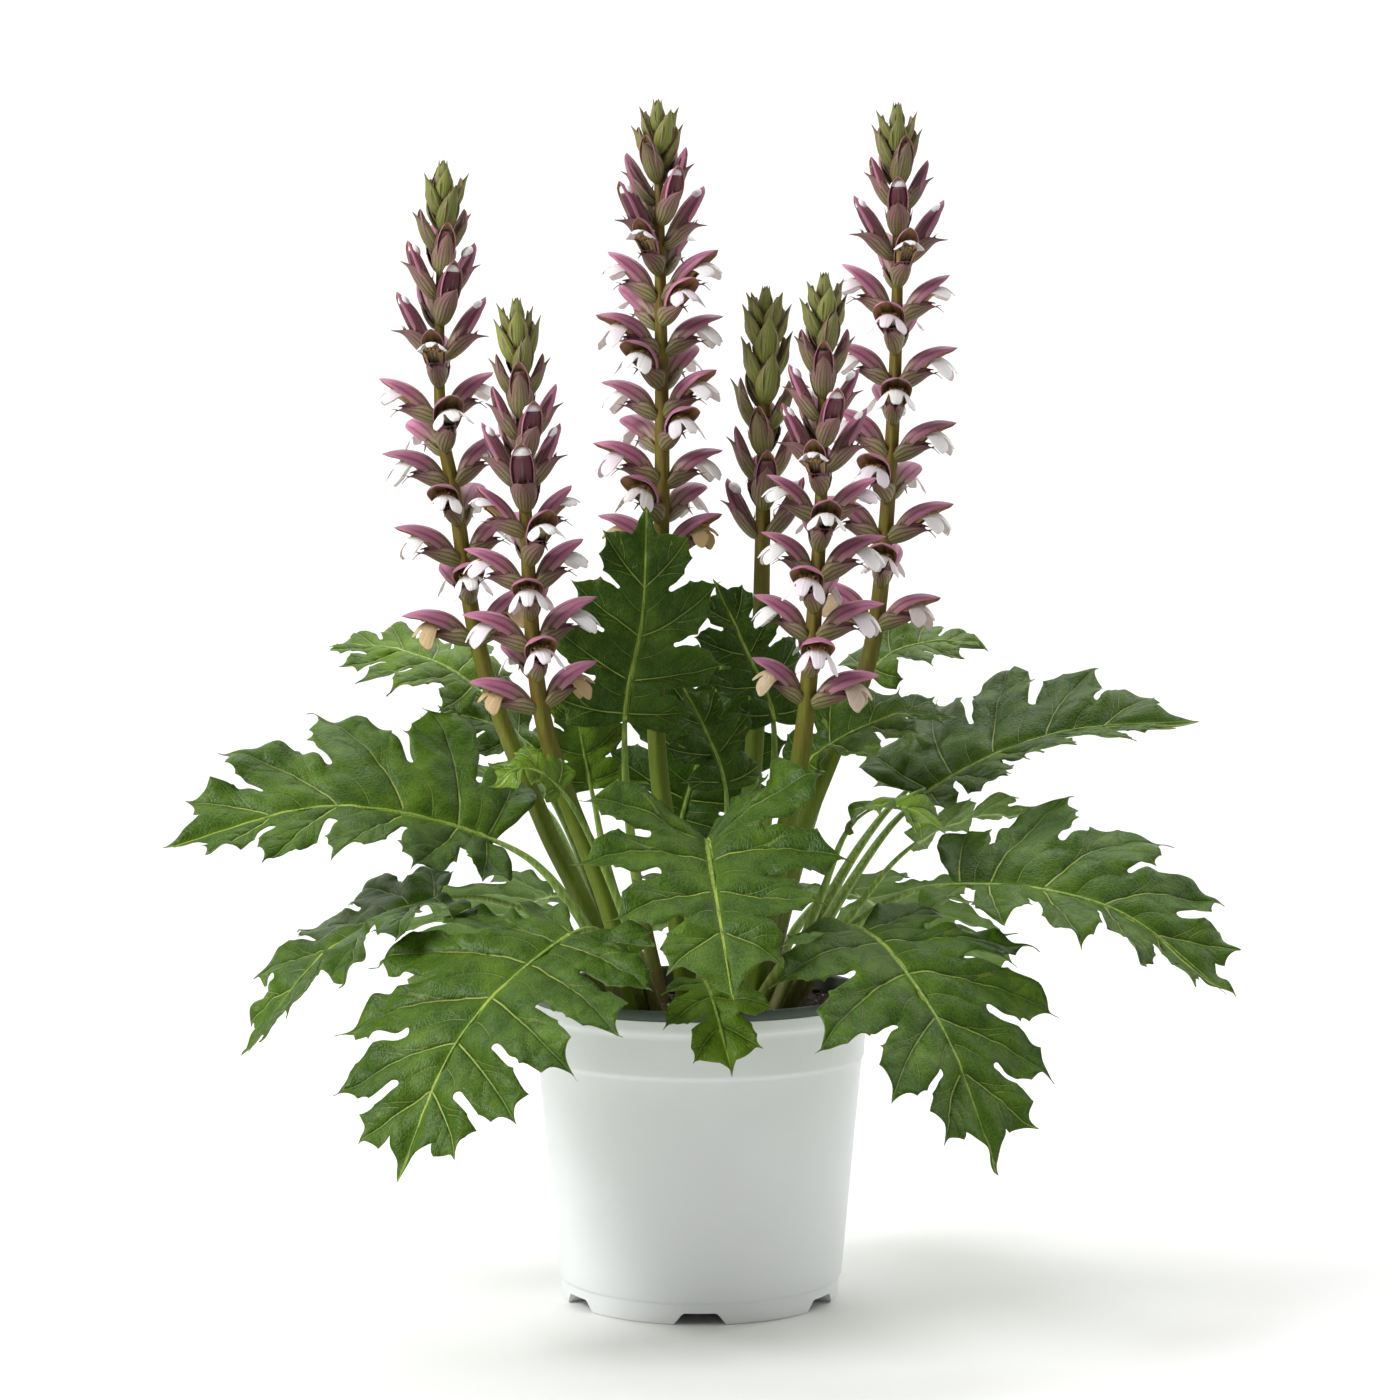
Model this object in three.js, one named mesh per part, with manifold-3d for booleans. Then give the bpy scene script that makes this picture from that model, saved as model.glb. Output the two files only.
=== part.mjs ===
// Bear's breeches (Acanthus) in a plastic nursery pot, in millimetres, +Z up.
// The origin is on the surface that the pot stands on, under the middle of the plant.
// -Y is the front. Every leaf and every flower spike stands in its own hole in the soil.
import * as THREE from "three";
import { mergeVertices } from "three/addons/utils/BufferGeometryUtils.js";
import Module from "manifold-3d";

const wasm = await Module();
wasm.setup();

// Driving dimensions of the pot.
const POT_HEIGHT = 210;
const RIM_RADIUS = 116;
const COLLAR_RADIUS = 114;
const COLLAR_DEPTH = 38;
const SHOULDER_RADIUS = 112.5;
const FOOT_RADIUS = 95;
const FOOT_HEIGHT = 14;
const FOOT_RING_WIDTH = 14;
const WALL = 2;
const FLOOR_UNDERSIDE = 5;
const LIP_HEIGHT = 8;
const POT_SEGMENTS = 36;
const NOTCH_COUNT = 6;
const NOTCH_HEIGHT = 8;
const NOTCH_TOP_WIDTH = 23;
const NOTCH_FOOT_WIDTH = 37;

// Driving dimensions of the soil and of the holes in it.
const SOIL_LEVEL = 197;
const SOIL_SEGMENTS = 16;
const SOIL_RINGS = [34, 72];
const SOIL_LUMP = 2.2;
const ROOT_DEPTH = 14;
const CLEARANCE = 0.3;

// Driving dimensions shared by the leaves.
const BLADE_THICKNESS = 0.9;
const PETIOLE_SIDES = 5;
const PETIOLE_STEPS = 6;
const PETIOLE_END_SHARE = 0.05;

// Driving dimensions shared by the flower spikes.
const STEM_SIDES = 5;
const STEM_STEPS = 11;
const STEM_BASE_RADIUS = 6.8;
const STEM_TOP_RADIUS = 2.6;

const COLOURS = {
  pot: { color: 0xe9edef, roughness: 0.42, metalness: 0 },
  soil: { color: 0x2a1c14, roughness: 0.95, metalness: 0 },
  leaf: { color: 0x2f5a26, roughness: 0.45, metalness: 0 },
  spike: { color: 0x7c4a5e, roughness: 0.6, metalness: 0 },
};

const vec = (p) => new THREE.Vector3(...p);

// A curve through the given points, evenly shared between them.
function curveThrough(points) {
  return new THREE.CatmullRomCurve3(points.map(vec), false, "catmullrom", 0.5);
}

// A closed mesh as a solid that can be cut and joined.
function solidFrom(geometry) {
  const bare = new THREE.BufferGeometry();
  bare.setAttribute("position", geometry.getAttribute("position"));
  bare.setIndex(geometry.index);
  const merged = mergeVertices(bare, 1e-4);
  return new wasm.Manifold(
    new wasm.Mesh({
      numProp: 3,
      vertProperties: merged.attributes.position.array,
      triVerts: new Uint32Array(merged.index.array),
    }),
  );
}

// A solid from loose points and the triangles between them.
function solidFromFaces(points, faces) {
  const geometry = new THREE.BufferGeometry();
  const flat = points.flatMap((p) => [p.x, p.y, p.z]);
  geometry.setAttribute("position", new THREE.Float32BufferAttribute(flat, 3));
  geometry.setIndex(faces.flat());
  const solid = solidFrom(geometry);
  if (solid.volume() > 0) return solid;
  geometry.setIndex(faces.map(([a, b, c]) => [a, c, b]).flat());
  return solidFrom(geometry);
}

// A solid turned back into a named mesh.
function meshFrom(name, solid, colour) {
  const data = solid.getMesh();
  const flat = new Float32Array(data.numVert * 3);
  for (let i = 0; i < data.numVert; i++) {
    flat.set(data.vertProperties.subarray(i * data.numProp, i * data.numProp + 3), i * 3);
  }
  const geometry = new THREE.BufferGeometry();
  geometry.setAttribute("position", new THREE.BufferAttribute(flat, 3));
  geometry.setIndex(new THREE.BufferAttribute(data.triVerts, 1));
  geometry.computeVertexNormals();
  const mesh = new THREE.Mesh(geometry, new THREE.MeshStandardMaterial(colour));
  mesh.name = name;
  return mesh;
}

// The largest of the bodies in a solid, so that a loose scrap is dropped.
function mainBody(solid) {
  return solid.decompose().sort((a, b) => b.volume() - a.volume())[0];
}

// A round tube along a curve between two places on it, thinning as radiusAt says.
function taperedTube(curve, from, to, steps, sides, radiusAt) {
  const points = [];
  const faces = [];
  let across = new THREE.Vector3(1, 0, 0);
  for (let i = 0; i <= steps; i++) {
    const t = THREE.MathUtils.lerp(from, to, i / steps);
    const centre = curve.getPoint(t);
    const along = curve.getTangent(t);
    across = across.clone().addScaledVector(along, -across.dot(along)).normalize();
    const up = new THREE.Vector3().crossVectors(along, across);
    for (let k = 0; k < sides; k++) {
      const angle = (2 * Math.PI * k) / sides;
      const radius = radiusAt(t);
      points.push(
        centre
          .clone()
          .addScaledVector(across, radius * Math.cos(angle))
          .addScaledVector(up, radius * Math.sin(angle)),
      );
    }
  }
  for (let i = 0; i < steps; i++) {
    for (let k = 0; k < sides; k++) {
      const a = i * sides + k;
      const b = i * sides + ((k + 1) % sides);
      faces.push([a, b, b + sides], [a, b + sides, a + sides]);
    }
  }
  for (let k = 1; k < sides - 1; k++) {
    const last = steps * sides;
    faces.push([0, k + 1, k], [last, last + k, last + k + 1]);
  }
  return solidFromFaces(points, faces);
}

// The pot

function potSolid() {
  const inner = (radius) => radius - WALL;
  const innerFloor = FLOOR_UNDERSIDE + WALL;
  const collarFoot = POT_HEIGHT - COLLAR_DEPTH;
  const profile = [
    [0, FLOOR_UNDERSIDE],
    [FOOT_RADIUS - FOOT_RING_WIDTH, FLOOR_UNDERSIDE],
    [FOOT_RADIUS - FOOT_RING_WIDTH, 0],
    [FOOT_RADIUS - 2, 0],
    [FOOT_RADIUS, 2],
    [FOOT_RADIUS + 0.8, FOOT_HEIGHT],
    [FOOT_RADIUS + 2.4, FOOT_HEIGHT + 1],
    [SHOULDER_RADIUS, collarFoot],
    [COLLAR_RADIUS, collarFoot + 2],
    [COLLAR_RADIUS + 0.6, POT_HEIGHT - LIP_HEIGHT - 8],
    [RIM_RADIUS, POT_HEIGHT - LIP_HEIGHT - 6],
    [RIM_RADIUS, POT_HEIGHT],
    [inner(COLLAR_RADIUS), POT_HEIGHT],
    [inner(SHOULDER_RADIUS) - 0.5, collarFoot],
    [inner(FOOT_RADIUS), innerFloor],
    [0, innerFloor],
  ];
  const lathe = new THREE.LatheGeometry(
    profile.map(([x, y]) => new THREE.Vector2(x, y)),
    POT_SEGMENTS,
  );
  lathe.rotateX(Math.PI / 2);
  return cutNotches(solidFromLathe(lathe));
}

// A lathe's seam and its points on the axis are merged, and the faces that this flattens go.
function solidFromLathe(lathe) {
  const bare = new THREE.BufferGeometry();
  bare.setAttribute("position", lathe.getAttribute("position"));
  bare.setIndex(lathe.index);
  const merged = mergeVertices(bare, 1e-3);
  const index = merged.index.array;
  const position = merged.getAttribute("position");
  const points = [];
  for (let i = 0; i < position.count; i++) {
    points.push(new THREE.Vector3().fromBufferAttribute(position, i));
  }
  const faces = [];
  for (let i = 0; i < index.length; i += 3) {
    const face = [index[i], index[i + 1], index[i + 2]];
    if (new Set(face).size === 3) faces.push(face);
  }
  return solidFromFaces(points, faces);
}

// Drain notches, one of them in the middle of the front.
function cutNotches(pot) {
  const outline = new THREE.Shape([
    new THREE.Vector2(-NOTCH_FOOT_WIDTH / 2, -1),
    new THREE.Vector2(NOTCH_FOOT_WIDTH / 2, -1),
    new THREE.Vector2(NOTCH_TOP_WIDTH / 2, NOTCH_HEIGHT),
    new THREE.Vector2(-NOTCH_TOP_WIDTH / 2, NOTCH_HEIGHT),
  ]);
  const reach = FOOT_RING_WIDTH + 14;
  let cut = pot;
  for (let i = 0; i < NOTCH_COUNT; i++) {
    const tool = new THREE.ExtrudeGeometry(outline, { depth: reach, bevelEnabled: false });
    tool.rotateX(Math.PI / 2);
    tool.translate(0, -(FOOT_RADIUS - FOOT_RING_WIDTH - 4), 0);
    tool.rotateZ((2 * Math.PI * i) / NOTCH_COUNT);
    const flat = mergeVertices(tool.deleteAttribute("normal").deleteAttribute("uv"), 1e-4);
    cut = cut.subtract(solidFrom(flat));
  }
  return cut;
}

// The soil

const lumps = (x, y) =>
  SOIL_LUMP * (Math.sin(x * 0.11 + 1.3) * Math.cos(y * 0.13) + 0.5 * Math.sin((x - y) * 0.21));

function soilSolid(rootSolids) {
  const inner = FLOOR_UNDERSIDE + WALL + CLEARANCE;
  const wallAt = (z) => {
    const share = (z - inner) / (POT_HEIGHT - COLLAR_DEPTH - inner);
    const low = FOOT_RADIUS - WALL;
    const high = SHOULDER_RADIUS - 0.5 - WALL;
    return THREE.MathUtils.lerp(low, high, Math.min(share, 1)) - 0.6;
  };
  const points = [];
  const faces = [];
  const ring = (radius, height) => {
    const first = points.length;
    for (let k = 0; k < SOIL_SEGMENTS; k++) {
      const angle = (2 * Math.PI * k) / SOIL_SEGMENTS;
      const x = radius * Math.cos(angle);
      const y = radius * Math.sin(angle);
      points.push(new THREE.Vector3(x, y, height ?? SOIL_LEVEL + lumps(x, y)));
    }
    return first;
  };
  const join = (a, b) => {
    for (let k = 0; k < SOIL_SEGMENTS; k++) {
      const n = (k + 1) % SOIL_SEGMENTS;
      faces.push([a + k, b + k, b + n], [a + k, b + n, a + n]);
    }
  };
  const top = points.push(new THREE.Vector3(0, 0, SOIL_LEVEL + lumps(0, 0))) - 1;
  const rings = [
    ...SOIL_RINGS.map((radius) => ring(radius)),
    ring(wallAt(SOIL_LEVEL)),
    ring(wallAt(POT_HEIGHT - COLLAR_DEPTH), POT_HEIGHT - COLLAR_DEPTH),
    ring(wallAt(inner), inner),
  ];
  const bottom = points.push(new THREE.Vector3(0, 0, inner)) - 1;
  for (let i = 0; i < rings.length - 1; i++) join(rings[i], rings[i + 1]);
  for (let k = 0; k < SOIL_SEGMENTS; k++) {
    const n = (k + 1) % SOIL_SEGMENTS;
    faces.push([top, rings[0] + k, rings[0] + n]);
    faces.push([bottom, rings.at(-1) + n, rings.at(-1) + k]);
  }
  return rootSolids.reduce((soil, root) => soil.subtract(root), solidFromFaces(points, faces));
}

// The leaves

// One side of a blade: where each lobe's vein leaves the midrib, and where its tip is, as shares of
// the blade's length along and across the midrib.
const LOBE_PATTERNS = {
  long: {
    roots: [0.02, 0.1, 0.22, 0.37, 0.54, 0.71],
    tips: [[-0.06, 0.27], [0.16, 0.44], [0.38, 0.51], [0.59, 0.45], [0.77, 0.32], [0.91, 0.17]],
  },
  broad: {
    roots: [0.03, 0.13, 0.29, 0.48, 0.68],
    tips: [[0.0, 0.34], [0.27, 0.5], [0.53, 0.46], [0.75, 0.32], [0.9, 0.16]],
  },
  middling: {
    roots: [0.03, 0.18, 0.4, 0.63],
    tips: [[0.06, 0.36], [0.37, 0.48], [0.67, 0.4], [0.88, 0.22]],
  },
  short: {
    roots: [0.04, 0.26, 0.56],
    tips: [[0.12, 0.4], [0.52, 0.46], [0.83, 0.28]],
  },
  spread: {
    roots: [0.02, 0.1, 0.24, 0.43, 0.65],
    tips: [[-0.14, 0.36], [0.08, 0.52], [0.33, 0.5], [0.58, 0.36], [0.81, 0.19]],
  },
};
const SINUS_SHARE = 0.42;
const LAST_SINUS = [0.87, 0.075];
const PROXIMAL_TOOTH = { along: 0.8, aside: 0.09 };
const DISTAL_TOOTH = { along: 0.83, aside: 0.06 };
const VEIN_NODE_SHARE = 0.52;

// The points and triangles of a flat blade. Both are the same for its two faces.
function bladeNet(pattern) {
  const { roots, tips } = LOBE_PATTERNS[pattern];
  const points = [];
  const faces = [];
  const add = (u, v) => points.push([u, v]) - 1;
  const midribAt = roots.map((root, i) => (i ? (roots[i - 1] + root) / 2 : 0));
  midribAt.push((roots.at(-1) + 1) / 2);
  const midrib = midribAt.map((u) => add(u, 0));
  const tip = add(1, 0);
  const rims = [];
  for (const side of [1, -1]) {
    const onVein = (i, share) => [
      THREE.MathUtils.lerp(roots[i], tips[i][0], share),
      tips[i][1] * share,
    ];
    const tooth = (i, { along, aside }, way) => {
      const [u, v] = onVein(i, along);
      const du = tips[i][0] - roots[i];
      const dv = tips[i][1];
      const length = Math.hypot(du, dv);
      return add(u + (way * aside * dv) / length, side * (v - (way * aside * du) / length));
    };
    const sinus = (i) => {
      if (i === 0) return add(-0.015, side * 0.03);
      if (i === roots.length) return add(LAST_SINUS[0], side * LAST_SINUS[1]);
      const a = onVein(i - 1, SINUS_SHARE);
      const b = onVein(i, SINUS_SHARE);
      return add((a[0] + b[0]) / 2, (side * (a[1] + b[1])) / 2);
    };
    const sinuses = roots.map((_, i) => sinus(i));
    sinuses.push(sinus(roots.length));
    const rim = [sinuses[0]];
    roots.forEach((_, i) => {
      const lobe = [
        tooth(i, PROXIMAL_TOOTH, -1),
        add(tips[i][0], side * tips[i][1]),
        tooth(i, DISTAL_TOOTH, 1),
      ];
      const [u, v] = onVein(i, VEIN_NODE_SHARE);
      const node = add(u, side * v);
      const loop = [midrib[i], sinuses[i], ...lobe, sinuses[i + 1], midrib[i + 1]];
      loop.forEach((p, k) => faces.push([node, p, loop[(k + 1) % loop.length]]));
      rim.push(...lobe, sinuses[i + 1]);
    });
    faces.push([midrib.at(-1), sinuses.at(-1), tip]);
    rims.push(rim);
  }
  return {
    points,
    faces: faces.map((face) => turnedUp(face, points)),
    rim: [midrib[0], ...rims[0], tip, ...rims[1].reverse()],
  };
}

// A triangle's corners in the order that faces up.
function turnedUp([a, b, c], points) {
  const [ua, va] = points[a];
  const [ub, vb] = points[b];
  const [uc, vc] = points[c];
  return (ub - ua) * (vc - va) - (uc - ua) * (vb - va) > 0 ? [a, b, c] : [a, c, b];
}

// Where a point of the flat blade lies once the leaf is bent, folded and waved.
function bladePlace(leaf, curve, u, v) {
  const inside = Math.max(u, 0);
  const t = 0.5 + inside / 2;
  const along = curve.getTangent(t);
  const length = leaf.length;
  const face = vec(leaf.face);
  const up = face.addScaledVector(along, -face.dot(along)).normalize();
  const across = new THREE.Vector3().crossVectors(up, along);
  const aside = v * length * (v > 0 ? leaf.sides[0] : leaf.sides[1]);
  const fold = THREE.MathUtils.degToRad(leaf.fold + leaf.cup * (1 - inside) ** 3);
  const reach = Math.abs(aside);
  const wave = leaf.wave * (reach / length) * Math.sin(u * 9 + (v > 0 ? 0.6 : 2.1) + leaf.phase);
  const lift = reach * Math.sin(fold) - (leaf.curl * reach * reach) / length + wave;
  const place = curve
    .getPoint(t)
    .addScaledVector(along, (u - inside) * length)
    .addScaledVector(across, aside * Math.cos(fold))
    .addScaledVector(up, lift);
  return { place, up };
}

function leafSolid(leaf) {
  const curve = curveThrough(leaf.points);
  const net = bladeNet(leaf.pattern);
  const top = [];
  const under = [];
  for (const [u, v] of net.points) {
    const { place, up } = bladePlace(leaf, curve, u, v);
    top.push(place);
    under.push(place.clone().addScaledVector(up, -BLADE_THICKNESS));
  }
  const count = top.length;
  const faces = net.faces.flatMap(([a, b, c]) => [
    [a, b, c],
    [a + count, c + count, b + count],
  ]);
  net.rim.forEach((a, k) => {
    const b = net.rim[(k + 1) % net.rim.length];
    faces.push([a, b, b + count], [a, b + count, a + count]);
  });
  const blade = solidFromFaces([...top, ...under], faces);
  const end = 0.5 + PETIOLE_END_SHARE / 2;
  const radiusAt = (t) => THREE.MathUtils.lerp(leaf.stalk, leaf.stalk * 0.42, t / end);
  const petiole = taperedTube(curve, 0, end, PETIOLE_STEPS, PETIOLE_SIDES, radiusAt);
  return mainBody(blade.add(petiole));
}

// A leaf from five places: where it leaves the soil, the middle of its stalk, and the foot,
// middle and tip of its blade. face is the way that its upper side looks.
function leaf(name, pattern, face, points, more = {}) {
  const [soil, stalk, foot, middle, tip] = points;
  const length =
    vec(foot).distanceTo(vec(middle)) + vec(middle).distanceTo(vec(tip));
  const start = [soil[0], soil[1], SOIL_LEVEL - ROOT_DEPTH];
  return {
    name,
    pattern,
    face,
    length,
    points: [start, stalk, foot, middle, tip],
    sides: [1, 1],
    fold: 12,
    cup: 0,
    curl: 0.35,
    wave: 14,
    phase: (soil[0] + soil[1]) * 0.13,
    stalk: 3.4,
    ...more,
  };
}

const LEAVES = [
  leaf("leaf_front_left", "long", [-0.35, -0.6, 0.7],
    [[-30, -38], [-52, -72, 238], [-82, -105, 262], [-150, -180, 208], [-188, -232, 122]],
    { sides: [1, 1], fold: 8 }),
  leaf("leaf_front_right", "broad", [0.35, -0.6, 0.7],
    [[28, -38], [62, -72, 242], [106, -105, 264], [152, -177, 214], [185, -228, 127]],
    { sides: [1.04, 1], fold: 8 }),
  leaf("leaf_front", "spread", [0, -0.55, 0.85],
    [[2, -40], [2, -42, 262], [4, -60, 318], [11, -150, 285], [21, -228, 231]],
    { sides: [1, 1.05], fold: 4, cup: 42 }),
  leaf("leaf_front_small", "short", [0, -0.7, 0.7],
    [[-2, -56], [-2, -78, 216], [3, -98, 228], [12, -132, 209], [21, -150, 172]],
    { stalk: 2.4, wave: 6 }),
  leaf("leaf_left", "broad", [0, -0.52, 0.85],
    [[-46, -18], [-85, -20, 265], [-140, -20, 314], [-250, -38, 339], [-360, -62, 311]],
    { sides: [0.74, 1.04], fold: 15 }),
  leaf("leaf_left_low", "broad", [-0.6, -0.25, 0.75],
    [[-54, 0], [-100, -20, 255], [-176, -34, 276], [-254, -52, 240], [-307, -62, 171]]),
  leaf("leaf_right", "broad", [0.2, -0.42, 0.88],
    [[48, -14], [104, -32, 256], [170, -48, 287], [272, -82, 276], [350, -115, 218]],
    { sides: [1.1, 0.74], fold: 14 }),
  leaf("leaf_right_high", "broad", [-0.1, -0.36, 0.93],
    [[50, 10], [100, 35, 270], [158, 60, 338], [250, 72, 381], [358, 85, 390]],
    { sides: [1.12, 0.5], fold: 14 }),
  leaf("leaf_right_middle", "middling", [0, 0.45, 0.9],
    [[56, -2], [104, 16, 256], [151, 30, 308], [202, 36, 328], [248, 42, 324]],
    { sides: [0.6, 0.6], stalk: 2.8, wave: 8 }),
  leaf("leaf_centre_high", "middling", [0, -0.95, 0.3],
    [[-24, 8], [-46, 2, 300], [-52, 6, 394], [-40, 14, 466], [-37, 18, 542]],
    { sides: [0.92, 0.92] }),
  leaf("leaf_back_right_high", "middling", [0.2, -0.9, 0.4],
    [[14, 34], [44, 40, 300], [52, 52, 391], [30, 58, 447], [9, 62, 492]],
    { sides: [0.8, 0.8] }),
  leaf("leaf_inner", "short", [0.1, -0.8, 0.6],
    [[8, 4], [16, 10, 280], [18, 20, 346], [4, 26, 386], [-12, 30, 418]],
    { stalk: 2.8, wave: 8 }),
  leaf("leaf_left_inner", "short", [0.3, -0.8, 0.5],
    [[-30, 22], [-62, 30, 280], [-76, 36, 345], [-84, 42, 385], [-90, 44, 424]],
    { stalk: 2.8, wave: 8 }),
  leaf("leaf_left_back_high", "broad", [-0.05, -0.3, 0.95],
    [[-42, 34], [-95, 55, 320], [-158, 75, 412], [-216, 100, 440], [-270, 120, 443]],
    { fold: 5 }),
  leaf("leaf_left_back", "middling", [-0.1, -0.4, 0.9],
    [[-28, 42], [-72, 70, 290], [-115, 90, 365], [-160, 100, 390], [-200, 104, 392]]),
  leaf("leaf_right_back_high", "middling", [0.1, -0.3, 0.95],
    [[40, 38], [80, 75, 320], [122, 100, 422], [167, 112, 446], [211, 122, 440]]),
  leaf("leaf_right_back", "broad", [0.1, -0.2, 0.95],
    [[54, 28], [98, 70, 275], [150, 112, 338], [202, 132, 366], [254, 148, 364]]),
  leaf("leaf_right_inner", "middling", [-0.1, -0.35, 0.93],
    [[36, 2], [52, 2, 290], [72, 2, 362], [127, 4, 396], [177, 8, 397]],
    { fold: 14 }),
  leaf("leaf_right_young", "short", [0.2, -0.3, 0.9],
    [[44, -26], [78, -30, 265], [104, -34, 328], [136, -54, 340], [166, -70, 322]],
    { stalk: 2.8, wave: 6 }),
  leaf("leaf_left_young", "short", [-0.2, -0.5, 0.8],
    [[-22, -52], [-60, -66, 290], [-92, -74, 352], [-118, -86, 368], [-137, -92, 357]],
    { stalk: 2.6, wave: 6 }),
  leaf("leaf_back_left_low", "broad", [-0.3, 0.5, 0.8],
    [[-40, 50], [-72, 90, 244], [-106, 120, 262], [-163, 180, 224], [-206, 224, 152]]),
  leaf("leaf_back_low", "middling", [0, 0.6, 0.8],
    [[2, 58], [2, 100, 240], [2, 128, 266], [4, 194, 240], [8, 246, 165]],
    { sides: [0.92, 0.92] }),
  leaf("leaf_back_right_low", "broad", [0.3, 0.5, 0.8],
    [[38, 54], [72, 92, 244], [108, 124, 263], [164, 180, 225], [206, 226, 152]]),
  leaf("leaf_back_high", "broad", [0.05, -0.85, 0.5],
    [[-10, 56], [-18, 88, 270], [-14, 108, 314], [6, 122, 384], [20, 132, 450]],
    { fold: 6 }),
  leaf("leaf_back_left", "middling", [-0.2, 0.3, 0.95],
    [[-52, 44], [-88, 86, 280], [-118, 116, 330], [-168, 160, 346], [-214, 196, 322]]),
];

// The flower spikes

// Half of an open flower, from the stem's axis outwards: [out, up, aside]. The hood is above, the
// bract below, and the white lip with its three lobes hangs out of the mouth between them.
const FLOWER = {
  root: [0, -2, 0],
  keel: [15, 2, 0],
  ridge: [17, 26, 0],
  side: [25, 21, 10.5],
  hoodTip: [42, 31, 0],
  bractTip: [31, 6, 0],
  throatSide: [22, 19, 3.5],
  throatTop: [23, 21.5, 0],
  throatFoot: [23, 17, 0],
  sideLobe: [39, 13, 12],
  notch: [35, 14, 5],
  middleLobe: [39, 3, 0],
};
// Half of a closed bud in the arm of its bract.
const BUD = {
  root: [0, -1, 0],
  ridge: [8, 22, 0],
  side: [14, 17, 9],
  budTip: [24, 37, 0],
  bractTip: [29, 20, 0],
};

// A place given in a flower's own directions, turned up by its lift and scaled.
function placer(stem, t, turn, lift, scale) {
  const centre = stem.getPointAt(t);
  const up = stem.getTangentAt(t);
  const start = new THREE.Vector3(0, -1, 0);
  const front = start.addScaledVector(up, -start.dot(up)).normalize();
  const out = front.clone().applyAxisAngle(up, turn);
  const aside = new THREE.Vector3().crossVectors(up, out);
  const c = Math.cos(lift);
  const s = Math.sin(lift);
  return ([x, z, y]) =>
    centre
      .clone()
      .addScaledVector(out, scale * (x * c - z * s))
      .addScaledVector(up, scale * (x * s + z * c))
      .addScaledVector(aside, scale * y);
}

const mirrored = ([x, z, y]) => [x, z, -y];
const SWAY_PHASE = 0.26;

function flowerSolid(place) {
  const f = FLOWER;
  const points = [
    f.root, f.ridge, f.side, f.keel, mirrored(f.side), f.hoodTip, f.bractTip,
    f.throatSide, mirrored(f.throatSide), f.throatTop, f.throatFoot,
    f.sideLobe, f.notch, f.middleLobe, mirrored(f.notch), mirrored(f.sideLobe),
  ].map(place);
  const calyx = [
    [0, 1, 2], [0, 2, 3], [0, 3, 4], [0, 4, 1],
    [1, 5, 2], [4, 5, 1], [4, 3, 6], [3, 2, 6],
  ];
  const mouth = [
    [2, 5, 7], [5, 9, 7], [5, 8, 9], [5, 4, 8],
    [4, 6, 8], [6, 10, 8], [6, 7, 10], [6, 2, 7],
  ];
  const lipFront = [
    [7, 9, 11], [11, 9, 12], [12, 9, 14], [12, 14, 13], [14, 9, 15], [15, 9, 8],
  ];
  const lipBack = [
    [7, 11, 10], [11, 12, 10], [12, 13, 10], [13, 14, 10], [14, 15, 10], [15, 8, 10],
  ];
  return solidFromFaces(points, [...calyx, ...mouth, ...lipFront, ...lipBack]);
}

function budSolid(place) {
  const b = BUD;
  const points = [b.root, b.ridge, b.side, b.bractTip, mirrored(b.side), b.budTip].map(place);
  const faces = [
    [0, 1, 2], [0, 2, 3], [0, 3, 4], [0, 4, 1],
    [5, 2, 1], [5, 3, 2], [5, 4, 3], [5, 1, 4],
  ];
  return solidFromFaces(points, faces);
}

// How far along a rising stem a height is reached, as a share of its length.
function shareAtHeight(stem, height) {
  let low = 0;
  let high = 1;
  for (let i = 0; i < 20; i++) {
    const middle = (low + high) / 2;
    if (stem.getPointAt(middle).z < height) low = middle;
    else high = middle;
  }
  return low;
}

// The levels of a spike: each bears two flowers face to face, a quarter turn on from the last.
// With a sway, the levels' turns stray from that, most at every other level.
function levelsOf(spike, stem) {
  const first = shareAtHeight(stem, spike.flowersFrom);
  const levels = [];
  for (let i = 0; i < spike.levels; i++) {
    const share = i / (spike.levels - 1);
    const along = 1 - Math.pow(1 - share, spike.crowding);
    const sway = spike.sway * Math.sin(((i + SWAY_PHASE) * Math.PI) / 2);
    levels.push({
      t: THREE.MathUtils.lerp(first, 0.985, along),
      turn: THREE.MathUtils.degToRad(spike.turn + i * spike.turnStep - sway),
      share,
      open: i < spike.openLevels,
    });
  }
  return levels;
}

function flowersOf(spike, stem) {
  const solids = [];
  for (const level of levelsOf(spike, stem)) {
    for (const turn of [level.turn, level.turn + Math.PI]) {
      const lift = THREE.MathUtils.degToRad(THREE.MathUtils.lerp(-3, 12, level.share));
      if (level.open) {
        const place = placer(stem, level.t, turn, lift, spike.size);
        solids.push(flowerSolid(place));
      } else {
        const size = spike.size * THREE.MathUtils.lerp(1.2, 0.72, level.share ** 2);
        solids.push(budSolid(placer(stem, level.t, turn, lift, size)));
      }
    }
  }
  return solids;
}

function spikeSolid(spike) {
  const stem = curveThrough(spike.points);
  const radiusAt = (t) => THREE.MathUtils.lerp(STEM_BASE_RADIUS, STEM_TOP_RADIUS, t * t);
  const stalk = taperedTube(stem, 0, 1, STEM_STEPS, STEM_SIDES, radiusAt);
  return mainBody(wasm.Manifold.union([stalk, ...flowersOf(spike, stem)]));
}

// A spike from the places that its stem goes through, above the soil.
function spike(name, points, levels, openLevels, flowersFrom, more = {}) {
  const [soil, ...rest] = points;
  return {
    name,
    points: [[soil[0], soil[1], SOIL_LEVEL - ROOT_DEPTH], ...rest],
    levels,
    openLevels,
    flowersFrom,
    crowding: 1.42,
    turn: 0,
    turnStep: 93,
    sway: 0,
    size: 1,
    ...more,
  };
}

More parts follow.
